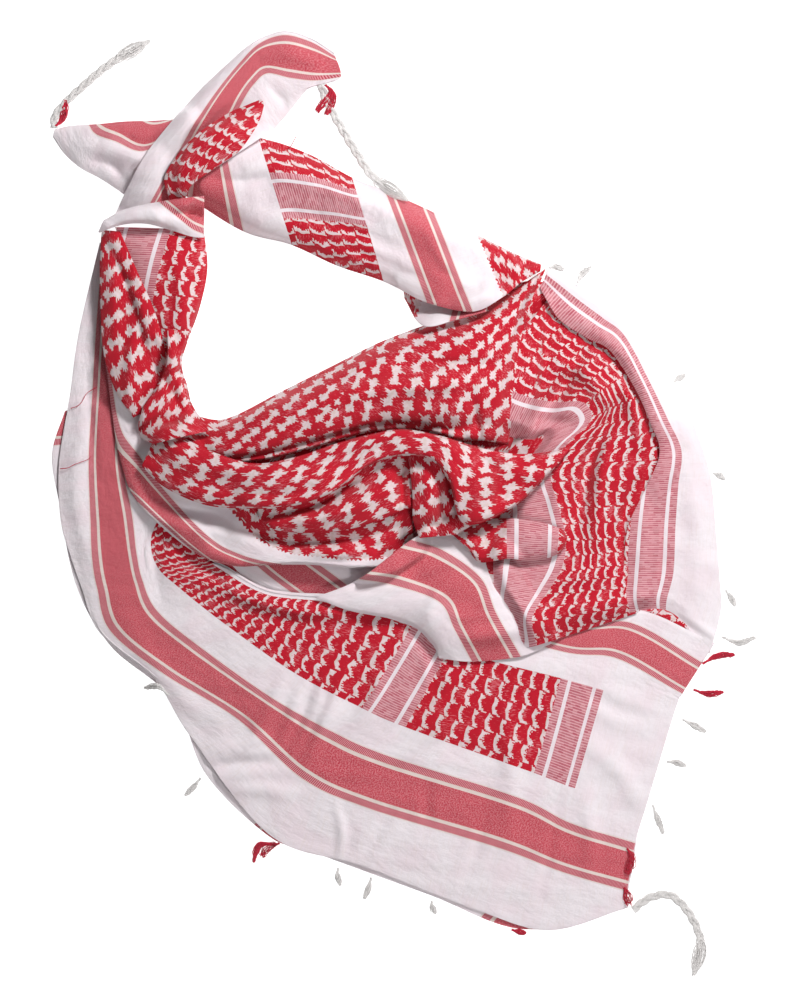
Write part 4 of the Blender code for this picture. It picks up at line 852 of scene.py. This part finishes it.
def netOf(made):
    # Each net point as x, y, u and v
    net, rises = [], []
    for row in made["rows"]:
        if made["run"] == "bias":
            rises.append(row[0])
            net.append(row[1:])
            continue
        rise, along, *points = row
        line = []
        for where, point in zip(made["lines"].values(), points):
            across = point[2] if len(point) == 3 else where
            line.append((*point[:2], across, along) if made["run"] == "warp" else (*point[:2], along, across))
        rises.append(rise)
        net.append(line)
    return np.array(net, float), np.array(rises, float)


def layStretch(name, heap, seed):
    made = stretches[name]
    net, rises = netOf(made)
    grain = made.get("grain", lay["grain"])
    alongPlaces = evenPlaces(net, grain)
    acrossPlaces = evenPlaces(net.transpose(1, 0, 2), grain)
    grid = spline(spline(net, alongPlaces).transpose(1, 0, 2), acrossPlaces).transpose(1, 0, 2)
    uv = grid[..., 2:]
    grid = grid[..., :2] * cm
    rise = np.maximum(spline(rises, alongPlaces), 0) * cm
    across = 2 * acrossPlaces / (net.shape[1] - 1) - 1
    arch = (1 - np.abs(across) ** made.get("breadth", lay["breadth"])) ** made.get("drop", lay["drop"])
    floor = heap.under(grid) + lay["gap"]
    bridged = heap.lookUp(heap.softened(made.get("reach", lay["reach"])), grid)
    bottom = bridged + lay["gap"] + rise[:, None] * arch[None]
    bottom = settled(bottom + creased(name, grid) + undulating(grid, seed), floor)
    top = bottom + lay["wall"] * steepness(grid, bottom, lay["steepest"])
    part = np.clip((alongPlaces - made.get("joinsFrom", -1)) / lay["joinRamp"], 0, 1)[:, None]
    joined = joinShare(grid, made["edges"], part)
    top = top * joined + (heap.lookUp(heap.top, grid) - lay["cloth"]) * (1 - joined)
    return clothAt(name, grid, top, uv, heap)


def clothAt(name, grid, top, uv, heap):
    points = np.concatenate([grid, top[..., None]], axis=2)
    piece, spread, area = clothMesh("cloth_" + name, points, uv, stretches[name]["edges"])
    heap.add(grid, top)
    return piece, spread, area


def joinShare(grid, edges, part):
    # 1 over the cloth, falling to 0 at an edge, or at part of one, where it runs on into the cloth below
    share = np.ones(grid.shape[:2])
    lines = (grid[:, :1], grid[:, -1:], grid[:1], grid[-1:])
    for kind, line in zip(edges, lines):
        if kind in ("join", "part"):
            along = np.clip(np.linalg.norm(grid - line, axis=2) / lay["joinWidth"], 0, 1)
            share *= 1 - (part if kind == "part" else 1) * (1 - along * along * (3 - 2 * along))
    return share


def heapCore(name, heap):
    # The height map takes the hidden layers; their CAD solid stays and gets the cotton finish
    rows = heaps[name]
    net = np.array([row[1:] for row in rows], float)
    places = np.linspace(0, len(rows) - 1, 40)
    section = spline(net, places) * cm
    rise = spline([row[0] for row in rows], places) * cm
    shares = np.linspace(0, 1, 40)
    grid = section[:, :1] * (1 - shares[None, :, None]) + section[:, 1:] * shares[None, :, None]
    dome = (1 - np.abs(2 * shares - 1) ** heapForm["breadth"]) ** heapForm["drop"]
    base = heap.under(grid).max() + lay["gap"]
    heap.add(grid, base + lay["wall"] + rise[:, None] * dome[None])


class Wire:
    # A socket that Python's operators act on by adding Math nodes
    def __init__(self, finish, socket):
        self.finish, self.socket = finish, socket

    def __add__(self, other):
        return self.finish.maths("ADD", self, other)

    __radd__ = __add__

    def __sub__(self, other):
        return self.finish.maths("SUBTRACT", self, other)

    def __rsub__(self, other):
        return self.finish.maths("SUBTRACT", other, self)

    def __mul__(self, other):
        return self.finish.maths("MULTIPLY", self, other)

    __rmul__ = __mul__

    def __truediv__(self, other):
        return self.finish.maths("DIVIDE", self, other)

    def __pow__(self, other):
        return self.finish.maths("POWER", self, other)

    def __mod__(self, other):
        return self.finish.maths("FLOORED_MODULO", self, other)

    def __floordiv__(self, other):
        return self.finish.maths("FLOOR", self / other)

    def __gt__(self, other):
        return self.finish.maths("GREATER_THAN", self, other)

    def __lt__(self, other):
        return self.finish.maths("LESS_THAN", self, other)

    def __abs__(self):
        return self.finish.maths("ABSOLUTE", self)

    def least(self, other):
        return self.finish.maths("MINIMUM", self, other)

    def most(self, other):
        return self.finish.maths("MAXIMUM", self, other)

    def sine(self):
        return self.finish.maths("SINE", self)

    def cosine(self):
        return self.finish.maths("COSINE", self)

    def within(self, low, high):
        return (self > low) * (self < high)

    def ramp(self, low, high):
        node = self.finish.add("ShaderNodeMapRange", dict(interpolation_type="SMOOTHSTEP"),
                               {"Value": self, "From Min": low, "From Max": high})
        return Wire(self.finish, node.outputs["Result"])


class Nodes:
    # What a material's nodes and a Geometry Nodes tree have in common
    def add(self, kind, settings, sockets):
        node = self.nodeTree.nodes.new(kind)
        for key, value in settings.items():
            setattr(node, key, value)
        for key, value in sockets.items():
            self.link(value, node.inputs[key])
        return node

    def link(self, value, socket):
        if isinstance(value, Wire):
            value = value.socket
        if isinstance(value, bpy.types.NodeSocket):
            self.nodeTree.links.new(value, socket)
        else:
            socket.default_value = value

    def maths(self, operation, *values):
        node = self.add("ShaderNodeMath", dict(operation=operation), dict(enumerate(values)))
        return Wire(self, node.outputs[0])


class Finish(Nodes):
    # One material's nodes
    def __init__(self, name, roughness, **fixed):
        self.material = bpy.data.materials.new(name)
        self.material.use_nodes = True
        self.nodeTree = self.material.node_tree
        self.shader = self.nodeTree.nodes["Principled BSDF"]
        self.shader.inputs["Roughness"].default_value = roughness
        for socket, value in fixed.items():
            self.shader.inputs[socket].default_value = value

    def colour(self, *value):
        node = self.add("ShaderNodeRGB", {}, {})
        node.outputs[0].default_value = (*value, 1.0)
        return Wire(self, node.outputs[0])

    def mix(self, share, first, second):
        # Colours 6 and 7 are the Mix node's colour inputs
        node = self.add("ShaderNodeMix", dict(data_type="RGBA"), {0: share})
        self.link(first, node.inputs[6])
        self.link(second, node.inputs[7])
        return Wire(self, node.outputs[2])

    def noise(self, vector, scale, detail=2.0, rough=0.5):
        node = self.add("ShaderNodeTexNoise", {},
                        {"Vector": vector, "Scale": scale, "Detail": detail, "Roughness": rough})
        return Wire(self, node.outputs[0])

    def hash(self, x, y=0.0):
        node = self.add("ShaderNodeTexWhiteNoise", dict(noise_dimensions="2D"), {"Vector": self.vector(x, y)})
        return Wire(self, node.outputs["Value"])

    def vector(self, x, y, z=0.0):
        return Wire(self, self.add("ShaderNodeCombineXYZ", {}, {"X": x, "Y": y, "Z": z}).outputs[0])

    def bump(self, height, depth, under=None):
        node = self.add("ShaderNodeBump", {}, {"Height": height, "Distance": depth, "Strength": 1.0})
        if under:
            self.link(under, node.inputs["Normal"])
        return Wire(self, node.outputs[0])


# The pattern that is woven in, in centimetres, and its colours
weave = {
    "thread": 0.12, "weaveStep": 0.055,
    "blockLine": 0.25, "stitch": 0.13, "tick": 0.17,
    "outerBlockEdge": (1.0, 0.5), "innerBlockEdge": (0.9, 0.5),
    "faintBands": ((9.6, 11.2), (13.4, 14.8), (30.4, 31.6), (34.4, 35.9)),
    "bandCream": (0.145, 0.855), "bandMiddle": (0.21, 0.79),
    "checkAlong": 2.8, "checkAcross": 2.4, "starGap": 0.6, "starSlant": (0.12, 0.26),
    "stars": ((1.0, 0.95, 0.68), (-1.0, 0.86, 0.64)),
    "leafAlong": 1.63, "leafAcross": 1.75, "leafDepth": 0.62, "leafLean": 0.36,
    "crimson": (0.48, 0.0068, 0.021), "crimsonLight": (0.62, 0.17, 0.20), "ground": (0.72, 0.59, 0.62),
    "groundShade": (0.64, 0.50, 0.48),
    "bandRed": (0.50, 0.050, 0.074), "bandPale": (0.62, 0.20, 0.225),
    "tickRed": (0.42, 0.028, 0.055), "tickPale": (0.66, 0.30, 0.33),
    "blockRed": (0.40, 0.035, 0.07), "blockPale": (0.66, 0.35, 0.38),
    "cream": (0.71, 0.60, 0.56), "white": (0.80, 0.735, 0.77), "blush": (0.78, 0.65, 0.70),
}


def scarfCotton(name, laid=False):
    # laid: patterned by where it is, for the hidden layers, which have no UV map
    made = Finish(name, 0.88, **{"Sheen Weight": 0.12, "Sheen Roughness": 0.5, "Specular IOR Level": 0.2})
    half = cut["side"] / 2
    if laid:
        source, socket, scale = made.add("ShaderNodeTexCoord", {}, {}), "Object", 100.0
    else:
        source, socket, scale = made.add("ShaderNodeUVMap", dict(uv_map="UVMap"), {}), 0, cut["side"]
    place = made.add("ShaderNodeSeparateXYZ", {}, {"Vector": Wire(made, source.outputs[socket])})
    wideU, wideV = (Wire(made, place.outputs[k]) * scale for k in (0, 1))
    if laid:
        wideU, wideV = (half - 16.0 + abs((turned + 16.0) % 64.0 - 32.0)
                        for turned in ((wideU - wideV) * 0.7, (wideU + wideV) * 0.7))
    u, v = half - abs(wideU - half), half - abs(wideV - half)
    flat = made.vector(wideU, wideV)
    bend = made.noise(flat, 0.5, 0.0) - 0.5
    waver = made.noise(flat, 1.2, 0.0) - 0.5
    drift = made.noise(flat, 0.23, 2.0)
    end = wideU // weave["thread"]
    odd = end % 2.0
    stepped = half - abs((end + 0.5) * weave["thread"] - half) + bend * 0.5
    wavering = v + waver * 0.5

    def starChecks():
        # Pairs of ragged stars, every other row moved half a step along
        row = (stepped / weave["checkAcross"] + 0.5) // 1.0
        acrossRow = stepped - row * weave["checkAcross"]
        shifted = wavering - (row % 2.0) * (weave["checkAlong"] / 2)
        cell = (shifted / weave["checkAlong"] + 0.5) // 1.0
        alongRow = shifted - cell * weave["checkAlong"]
        slant = weave["starSlant"][0] + weave["starSlant"][1] * ((cell + row) % 2.0)
        overlap = (made.hash(end, wavering // 1.4) - 0.5) * 0.34 + (odd - 0.5) * 0.24
        reach = None
        for side, long, wide in weave["stars"]:
            x, y = abs(alongRow - side * slant) / long, abs(acrossRow - side * weave["starGap"]) / wide
            star = x ** 0.85 + y ** 0.85 - overlap * (x + 0.3)
            reach = star if reach is None else reach.least(star)
        neck = abs(alongRow - acrossRow * slant / weave["starGap"]) / (0.2 + 0.1 * odd)
        neck = neck.most(abs(acrossRow) / 0.7)
        return 1.0 - reach.least(neck).ramp(0.93, 1.09)

    def leafChains():
        # Scalloped chains across the warp, crossed by a thin stem at each cusp
        share = (stepped / weave["leafAcross"]) % 1.0
        turn = (share * math.pi).sine()
        ragged = (made.hash(end, wavering // 0.8) - 0.5) * 0.32 + (odd - 0.5) * 0.1
        wave = wavering - turn * weave["leafDepth"] - (share - 0.5) * weave["leafLean"] + ragged
        away = ((wave / weave["leafAlong"]) % 1.0) * weave["leafAlong"]
        width = 0.38 + 0.46 * (1.0 - turn) ** 1.5
        stem = abs(((share + 0.5) % 1.0 - 0.5) * weave["leafAcross"] - (away - 0.6) * 0.2) < 0.065
        return (away < width + ragged) * (1.0 - stem)

    # Thin dashed lines along the warp in the stripe blocks
    lineNumber = wideU // weave["blockLine"]
    line = (wideU / weave["blockLine"]) % 1.0
    dash = made.hash(lineNumber, (wideV + made.hash(lineNumber, 1.0)) // 0.7)
    stitch = ((wideV / weave["stitch"]) % 1.0).ramp(0.15, 0.4)
    blockInk = (line < 0.4 + dash * 0.3) * (0.5 + dash * 0.4) * (0.55 + 0.45 * stitch)

    def blockOf(first, last, thin, gap):
        solid = v.within(first, first + thin).most(v.within(first + thin + gap, last - thin - gap))
        return solid.most(v.within(last - thin, last))

    blocks = blockOf(*cut["outerBlock"], *weave["outerBlockEdge"])
    blocks = blocks.most(blockOf(*cut["innerBlock"], *weave["innerBlockEdge"]))
    columns = u.within(*cut["leafColumn"]).most(u > cut["centreColumn"])
    leaf = v.within(cut["outerBlock"][1], cut["innerBlock"][0])
    leaf = leaf.most((v > cut["innerBlock"][1]) * (u < cut["centreColumn"])) * columns
    ragged = u + abs((wavering / 0.56) % 1.0 - 0.5) * 0.6
    checks = (ragged > cut["centreColumn"] + 0.25) * (v > cut["innerBlock"][1])

    white, cream, crimson = (made.colour(*weave[key]) for key in ("white", "cream", "crimson"))
    white = made.mix(drift.ramp(0.38, 0.68) * 0.6, white, made.colour(*weave["blush"]))
    slubs = made.noise(made.vector(wideU * 0.5, wideV * 6.0), 1.0, 2.0)
    white = made.mix(slubs.ramp(0.45, 0.75) * 0.25, white, cream)
    floats = made.noise(made.vector(wideU * 12.0 + wideV * 1.5, wideV * 1.5), 1.0, 2.0, 0.6)
    zone = made.noise(flat, 0.45, 1.0)
    glint = (floats - (0.86 - 0.52 * zone)).ramp(0.0, 0.06)
    red = made.mix(glint * 0.75, crimson, made.colour(*weave["crimsonLight"]))
    ground, groundShade = (made.colour(*weave[key]) for key in ("ground", "groundShade"))
    pale = made.mix(made.noise(flat, 2.2).ramp(0.35, 0.7), ground, groundShade)
    faint = v.within(*weave["faintBands"][0])
    for low, high in weave["faintBands"][1:]:
        faint = faint.most(v.within(low, high))
    white = made.mix(faint * (0.25 + 0.3 * waver), white, made.colour(*weave["blush"]))
    inked = made.mix(blockInk, made.colour(*weave["blockPale"]), made.colour(*weave["blockRed"]))
    base = made.mix(blocks * columns, white, inked)
    base = made.mix(leaf, base, made.mix(leafChains(), red, pale))
    base = made.mix(checks, base, made.mix(starChecks(), red, pale))

    # The warp bands go over everything, from selvedge to selvedge
    speck = made.noise(made.vector(wideU * 9.0, wideV * 7.0), 1.0, 2.0, 0.7)
    for low, high in (cut["outerBand"], cut["innerBand"]):
        share = (u - low) / (high - low)
        bandRed, bandPale = (made.colour(*weave[key]) for key in ("bandRed", "bandPale"))
        chambray = made.mix(speck.ramp(0.42, 0.62), bandRed, bandPale)
        tick = ((wideV / weave["tick"] + wideU * 1.2) % 1.0).ramp(0.35, 0.6)
        thin = made.mix(tick, made.colour(*weave["tickRed"]), made.colour(*weave["tickPale"]))
        base = made.mix(share.within(-0.03, 1.03) * 0.7, base, cream)
        base = made.mix(share.within(0.0, 1.0), base, thin)
        base = made.mix(share.within(*weave["bandCream"]), base, cream)
        base = made.mix(share.within(*weave["bandMiddle"]), base, chambray)
    made.link(base, made.shader.inputs["Base Color"])

    # Threads, then the small puckers between them
    over = (((u / weave["weaveStep"]) % 1.0 - 0.5) * ((v / weave["weaveStep"]) % 1.0 - 0.5)) * 4.0
    raised = made.bump(over + floats * 1.5, 0.00006)
    puckers = made.noise(made.vector(wideU * 0.9, wideV * 0.6), 1.0, 4.0, 0.55)
    made.link(made.bump(puckers, 0.0016, raised), made.shader.inputs["Normal"])
    return made.material


def yarn(name, colour, shade):
    made = Finish(name, 0.9, **{"Sheen Weight": 0.2, "Specular IOR Level": 0.2})
    place = Wire(made, made.add("ShaderNodeTexCoord", {}, {}).outputs["Object"])
    fibre = made.noise(place, 900.0, 3.0, 0.6)
    base = made.mix(fibre.ramp(0.35, 0.65), made.colour(*shade), made.colour(*colour))
    made.link(base, made.shader.inputs["Base Color"])
    made.link(made.bump(fibre, 0.0002), made.shader.inputs["Normal"])
    return made.material


cotton = scarfCotton("scarf cotton")
layersCotton = scarfCotton("cotton of the hidden layers", laid=True)
yarns = {
    "white": yarn("white yarn", (0.78, 0.75, 0.74), (0.56, 0.54, 0.53)),
    "red": yarn("red yarn", (0.58, 0.02, 0.05), (0.36, 0.01, 0.03)),
}
print("materials made")


class Tree(Nodes):
    # A Geometry Nodes tree with named inputs
    def __init__(self, name, inputs):
        self.nodeTree = bpy.data.node_groups.new(name, "GeometryNodeTree")
        interface = self.nodeTree.interface
        interface.new_socket("Geometry", in_out="INPUT", socket_type="NodeSocketGeometry")
        interface.new_socket("Geometry", in_out="OUTPUT", socket_type="NodeSocketGeometry")
        for key, (kind, value) in inputs.items():
            socket = interface.new_socket(key, in_out="INPUT", socket_type="NodeSocket" + kind)
            if value is not None:
                socket.default_value = value
        self.inputs = self.nodeTree.nodes.new("NodeGroupInput").outputs
        self.output = self.nodeTree.nodes.new("NodeGroupOutput").inputs[0]

    def first(self, kind, settings, sockets):
        # The first output of a new node
        return self.add(kind, settings, sockets).outputs[0]

    def vectorMaths(self, operation, *values):
        return self.first("ShaderNodeVectorMath", dict(operation=operation), dict(enumerate(values)))

    def scaled(self, vector, scale):
        return self.first("ShaderNodeVectorMath", dict(operation="SCALE"), {0: vector, "Scale": scale})


def plaitedCordTree():
    # Three bundles of yarn plaited over one another, whose ends run out into a pointed tuft
    tree = Tree("Plaited cord", {
        "Yarns": ("Int", 3), "Yarn radius": ("Float", 0.0005), "Plait width": ("Float", 0.002),
        "Plait height": ("Float", 0.001), "Bundle radius": ("Float", 0.001), "Turns": ("Float", 4.0),
        "Tuft start": ("Float", 0.8), "Tuft width": ("Float", 0.005), "Tuft height": ("Float", 0.002),
        "Tuft point": ("Float", 0.8), "Points": ("Int", 60), "Wander": ("Float", 0.0008), "Seed": ("Int", 1),
        "Yarn": ("Material", None),
    })
    get = {key: Wire(tree, socket) for key, socket in tree.inputs.items()}
    curve = tree.first("GeometryNodeMeshToCurve", {}, {"Mesh": get["Geometry"]})
    curve = tree.first("GeometryNodeCurveSplineType", dict(spline_type="CATMULL_ROM"), {"Curve": curve})
    curve = tree.first("GeometryNodeResampleCurve", {}, {"Curve": curve, "Count": get["Points"]})
    copies = tree.add("GeometryNodeDuplicateElements", dict(domain="SPLINE"),
                      {"Geometry": curve, "Amount": get["Yarns"] * 3.0})
    number = Wire(tree, copies.outputs["Duplicate Index"])
    along = Wire(tree, tree.add("GeometryNodeSplineParameter", {}, {}).outputs["Factor"])
    share = number / (get["Yarns"] * 3.0)
    turn = (along * get["Turns"] + (number % 3.0) / 3.0) * (2 * math.pi)
    lie = (number // 3.0) / get["Yarns"] * (2 * math.pi) + turn * 0.5
    tuft = ((along - get["Tuft start"]) / (1.0 - get["Tuft start"])).most(0.0)
    held = 1.0 - (tuft * 3.0).least(1.0)
    opened = ((tuft ** 0.8) * math.pi * get["Tuft point"]).sine().most(0.0)
    ray = share * (2 * math.pi * 2.6)
    reach = opened * (0.25 + 0.75 * ((number * 0.618) % 1.0))
    sideways = (get["Plait width"] * turn.sine() + get["Bundle radius"] * lie.cosine()) * held
    sideways = sideways + get["Tuft width"] * ray.cosine() * reach
    upward = (get["Plait height"] * (turn * 2.0).sine() + get["Bundle radius"] * lie.sine() * 0.7) * held
    upward = upward + get["Tuft height"] * ray.sine() * reach
    ahead = tree.first("GeometryNodeInputTangent", {}, {})
    side = tree.vectorMaths("NORMALIZE", tree.vectorMaths("CROSS_PRODUCT", (0.0, 0.0, 1.0), ahead))
    lift = tree.first("ShaderNodeCombineXYZ", {}, {"Z": upward})
    offset = tree.vectorMaths("ADD", lift, tree.scaled(side, sideways))
    position = tree.first("GeometryNodeInputPosition", {}, {})
    apart = tree.first("ShaderNodeCombineXYZ", {}, {"X": number * 3.7, "Y": get["Seed"] * 1.3})
    drift = tree.vectorMaths("ADD", tree.scaled(position, 260.0), apart)
    noise = tree.add("ShaderNodeTexNoise", dict(noise_dimensions="3D"),
                     {"Vector": drift, "Scale": 1.0, "Detail": 1.0})
    wander = tree.scaled(tree.vectorMaths("SUBTRACT", noise.outputs["Color"], (0.5, 0.5, 0.5)),
                         get["Wander"] * (tuft * 2.0 + 0.3))
    wander = tree.vectorMaths("MULTIPLY", wander, (1.0, 1.0, 0.4))
    offset = tree.vectorMaths("ADD", offset, wander)
    moved = tree.first("GeometryNodeSetPosition", {}, {"Geometry": copies.outputs[0], "Offset": offset})
    profile = tree.first("GeometryNodeCurvePrimitiveCircle", {},
                         {"Resolution": 6, "Radius": get["Yarn radius"]})
    tube = tree.first("GeometryNodeCurveToMesh", {},
                      {"Curve": moved, "Profile Curve": profile, "Fill Caps": True})
    tube = tree.first("GeometryNodeSetShadeSmooth", {}, {"Geometry": tube})
    whole = tree.first("GeometryNodeRealizeInstances", {}, {"Geometry": tube})
    whole = tree.first("GeometryNodeSetMaterial", {}, {"Geometry": whole, "Material": get["Yarn"]})
    tree.link(whole, tree.output)
    return tree.nodeTree


def runTree(name, group, points, values):
    # Turns a path into a plain mesh through a tree
    path = bpy.data.meshes.new(name + "_path")
    path.from_pydata(points.tolist(), [(k, k + 1) for k in range(len(points) - 1)], [])
    piece = bpy.data.objects.new(name, path)
    bpy.context.scene.collection.objects.link(piece)
    modifier = piece.modifiers.new("Cord", "NODES")
    modifier.node_group = group
    for item in group.interface.items_tree:
        if item.in_out == "INPUT" and item.name in values:
            modifier[item.identifier] = values[item.name]
    bpy.context.view_layer.update()
    seen = piece.evaluated_get(bpy.context.evaluated_depsgraph_get())
    mesh = bpy.data.meshes.new_from_object(seen)
    piece.modifiers.clear()
    piece.data = mesh
    mesh.name = name
    return piece


def restingPath(heap, path, radius):
    # Lays a cord's points on the heap, bending up and down gently
    heights = heap.lookUp(heap.dilated(cordLay["reach"]), path)
    step = cordLay["slope"] * np.linalg.norm(np.diff(path, axis=0), axis=1)
    for k in range(1, len(path)):
        heights[k] = max(heights[k], heights[k - 1] - step[k - 1])
    for k in range(len(path) - 1, 0, -1):
        heights[k - 1] = max(heights[k - 1], heights[k] - step[k - 1])
    return np.column_stack([path, np.maximum(heights, 0) + radius])


heap = HeightMap()


def backPanel():
    # It lies flat on the surface
    net, _ = netOf(stretches["back_panel"])
    grid = spline(spline(net, evenPlaces(net, lay["backGrain"])).transpose(1, 0, 2),
                  evenPlaces(net.transpose(1, 0, 2), lay["backGrain"])).transpose(1, 0, 2)
    uv, grid = grid[..., 2:], grid[..., :2] * cm
    return clothAt("back_panel", grid, np.full(grid.shape[:2], lay["wall"]), uv, heap)


order = [name for name in stretches if name != "back_panel"]
pieces = {"back_panel": backPanel()}
for name in heaps:
    heapCore(name, heap)
for seed, name in enumerate(order):
    pieces[name] = layStretch(name, heap, seeds["cloth"] + seed)
    print("laid", name, len(pieces[name][0].data.polygons))

for name, (piece, spread, area) in pieces.items():
    piece.data.materials.append(cotton)
    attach(piece, "root")
    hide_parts(*stretches[name]["replaces"])
    min(area, spread[0] * spread[1])

cordTree = plaitedCordTree()


def laidCord(name, points, form, radius, colour, seed, turns=None):
    # points in centimetres; the cord lies on whatever is under it
    path = spline(points, np.linspace(0, len(points) - 1, 6 * len(points))) * cm
    values = {**form, "Seed": seed, "Yarn": yarns[colour]}
    if turns:
        values["Turns"] = turns * np.linalg.norm(np.diff(path, axis=0), axis=1).sum() / cm
    return runTree(name, cordTree, restingPath(heap, path, radius), values)


def ridesAs(piece, node):
    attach(piece, "root")
    if node:
        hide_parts(node)


for number, (name, (colour, *points)) in enumerate(tassels.items()):
    piece = laidCord("yarn_" + name, points, tasselForm, cordLay["tassel"], colour, number)
    ridesAs(piece, name)
for number, (name, made) in enumerate(braids.items()):
    piece = laidCord("yarn_" + name, made["route"], braidForm, cordLay["braid"], "white",
                     seeds["braid"] + number, braidTurnsPerCm)
    ridesAs(piece, name)
    for tie, points in enumerate(made["ties"]):
        piece = laidCord("red_tie_%d_of_%s" % (tie + 1, name), points, tieForm, cordLay["tie"], "red",
                         seeds["tie"] + seeds["tiesPerBraid"] * number + tie)
        ridesAs(piece, None)
for number, (name, (kind, *points)) in enumerate(looseYarn.items()):
    piece = laidCord("red_" + name, points, looseForms[kind], cordLay["loose"], "red",
                     seeds["loose"] + number)
    ridesAs(piece, None)
print("cords and tassels made")

for name in heaps:
    core = bpy.data.objects[name]
    core.data.materials.clear()
    core.data.materials.append(layersCotton)

# Camera, floor and light
view = {"west": -46.48, "east": 45.90, "south": -57.45, "north": 58.03, "height": 8.0, "sensor": 36.0}
camera = bpy.data.objects.new("Camera", bpy.data.cameras.new("Camera"))
camera.data.sensor_fit = "VERTICAL"
camera.data.sensor_height = view["sensor"]
camera.data.lens = view["sensor"] * view["height"] / ((view["north"] - view["south"]) * cm)
camera.data.clip_end = 30.0
middle = [(view[a] + view[b]) / 2 * cm for a, b in (("west", "east"), ("south", "north"))]
camera.location = (*middle, view["height"])
bpy.context.scene.collection.objects.link(camera)
bpy.context.scene.camera = camera

floorForm = {"half": 30.0, "height": -0.0005, "grey": 0.4, "glow": 1.0}
floorMesh = bpy.data.meshes.new("floor")
corners = [(x * floorForm["half"], y * floorForm["half"], floorForm["height"])
           for x, y in ((-1, -1), (1, -1), (1, 1), (-1, 1))]
floorMesh.from_pydata(corners, [], [(0, 1, 2, 3)])
floor = bpy.data.objects.new("floor", floorMesh)
bpy.context.scene.collection.objects.link(floor)
floorFinish = Finish("plain floor", 0.9)
floorFinish.shader.inputs["Base Color"].default_value = (*[floorForm["grey"]] * 3, 1.0)
floorFinish.shader.inputs["Emission Color"].default_value = (1.0, 1.0, 1.0, 1.0)
floorFinish.shader.inputs["Emission Strength"].default_value = floorForm["glow"]
floorMesh.materials.append(floorFinish.material)

# Round lamps, each aimed at the middle: place in metres, width and watts
lights = {
    "north": ((0.75, 1.35, 1.55), 0.45, 46.0),
    "south": ((0.85, -1.2, 1.75), 0.6, 18.0),
    "over": ((0.2, -0.3, 3.0), 1.6, 7.0),
}
skyStrength = 0.12
for name, (place, size, power) in lights.items():
    lamp = bpy.data.lights.new(name, "AREA")
    lamp.shape, lamp.size, lamp.energy = "DISK", size, power
    thing = bpy.data.objects.new(name, lamp)
    thing.location = place
    thing.rotation_euler = (-Vector(place)).to_track_quat("-Z", "Y").to_euler()
    bpy.context.scene.collection.objects.link(thing)
world = bpy.data.worlds.new("studio")
world.use_nodes = True
world.node_tree.nodes["Background"].inputs["Color"].default_value = (1.0, 1.0, 1.0, 1.0)
world.node_tree.nodes["Background"].inputs["Strength"].default_value = skyStrength
bpy.context.scene.world = world
bpy.context.scene.view_settings.view_transform = "Standard"

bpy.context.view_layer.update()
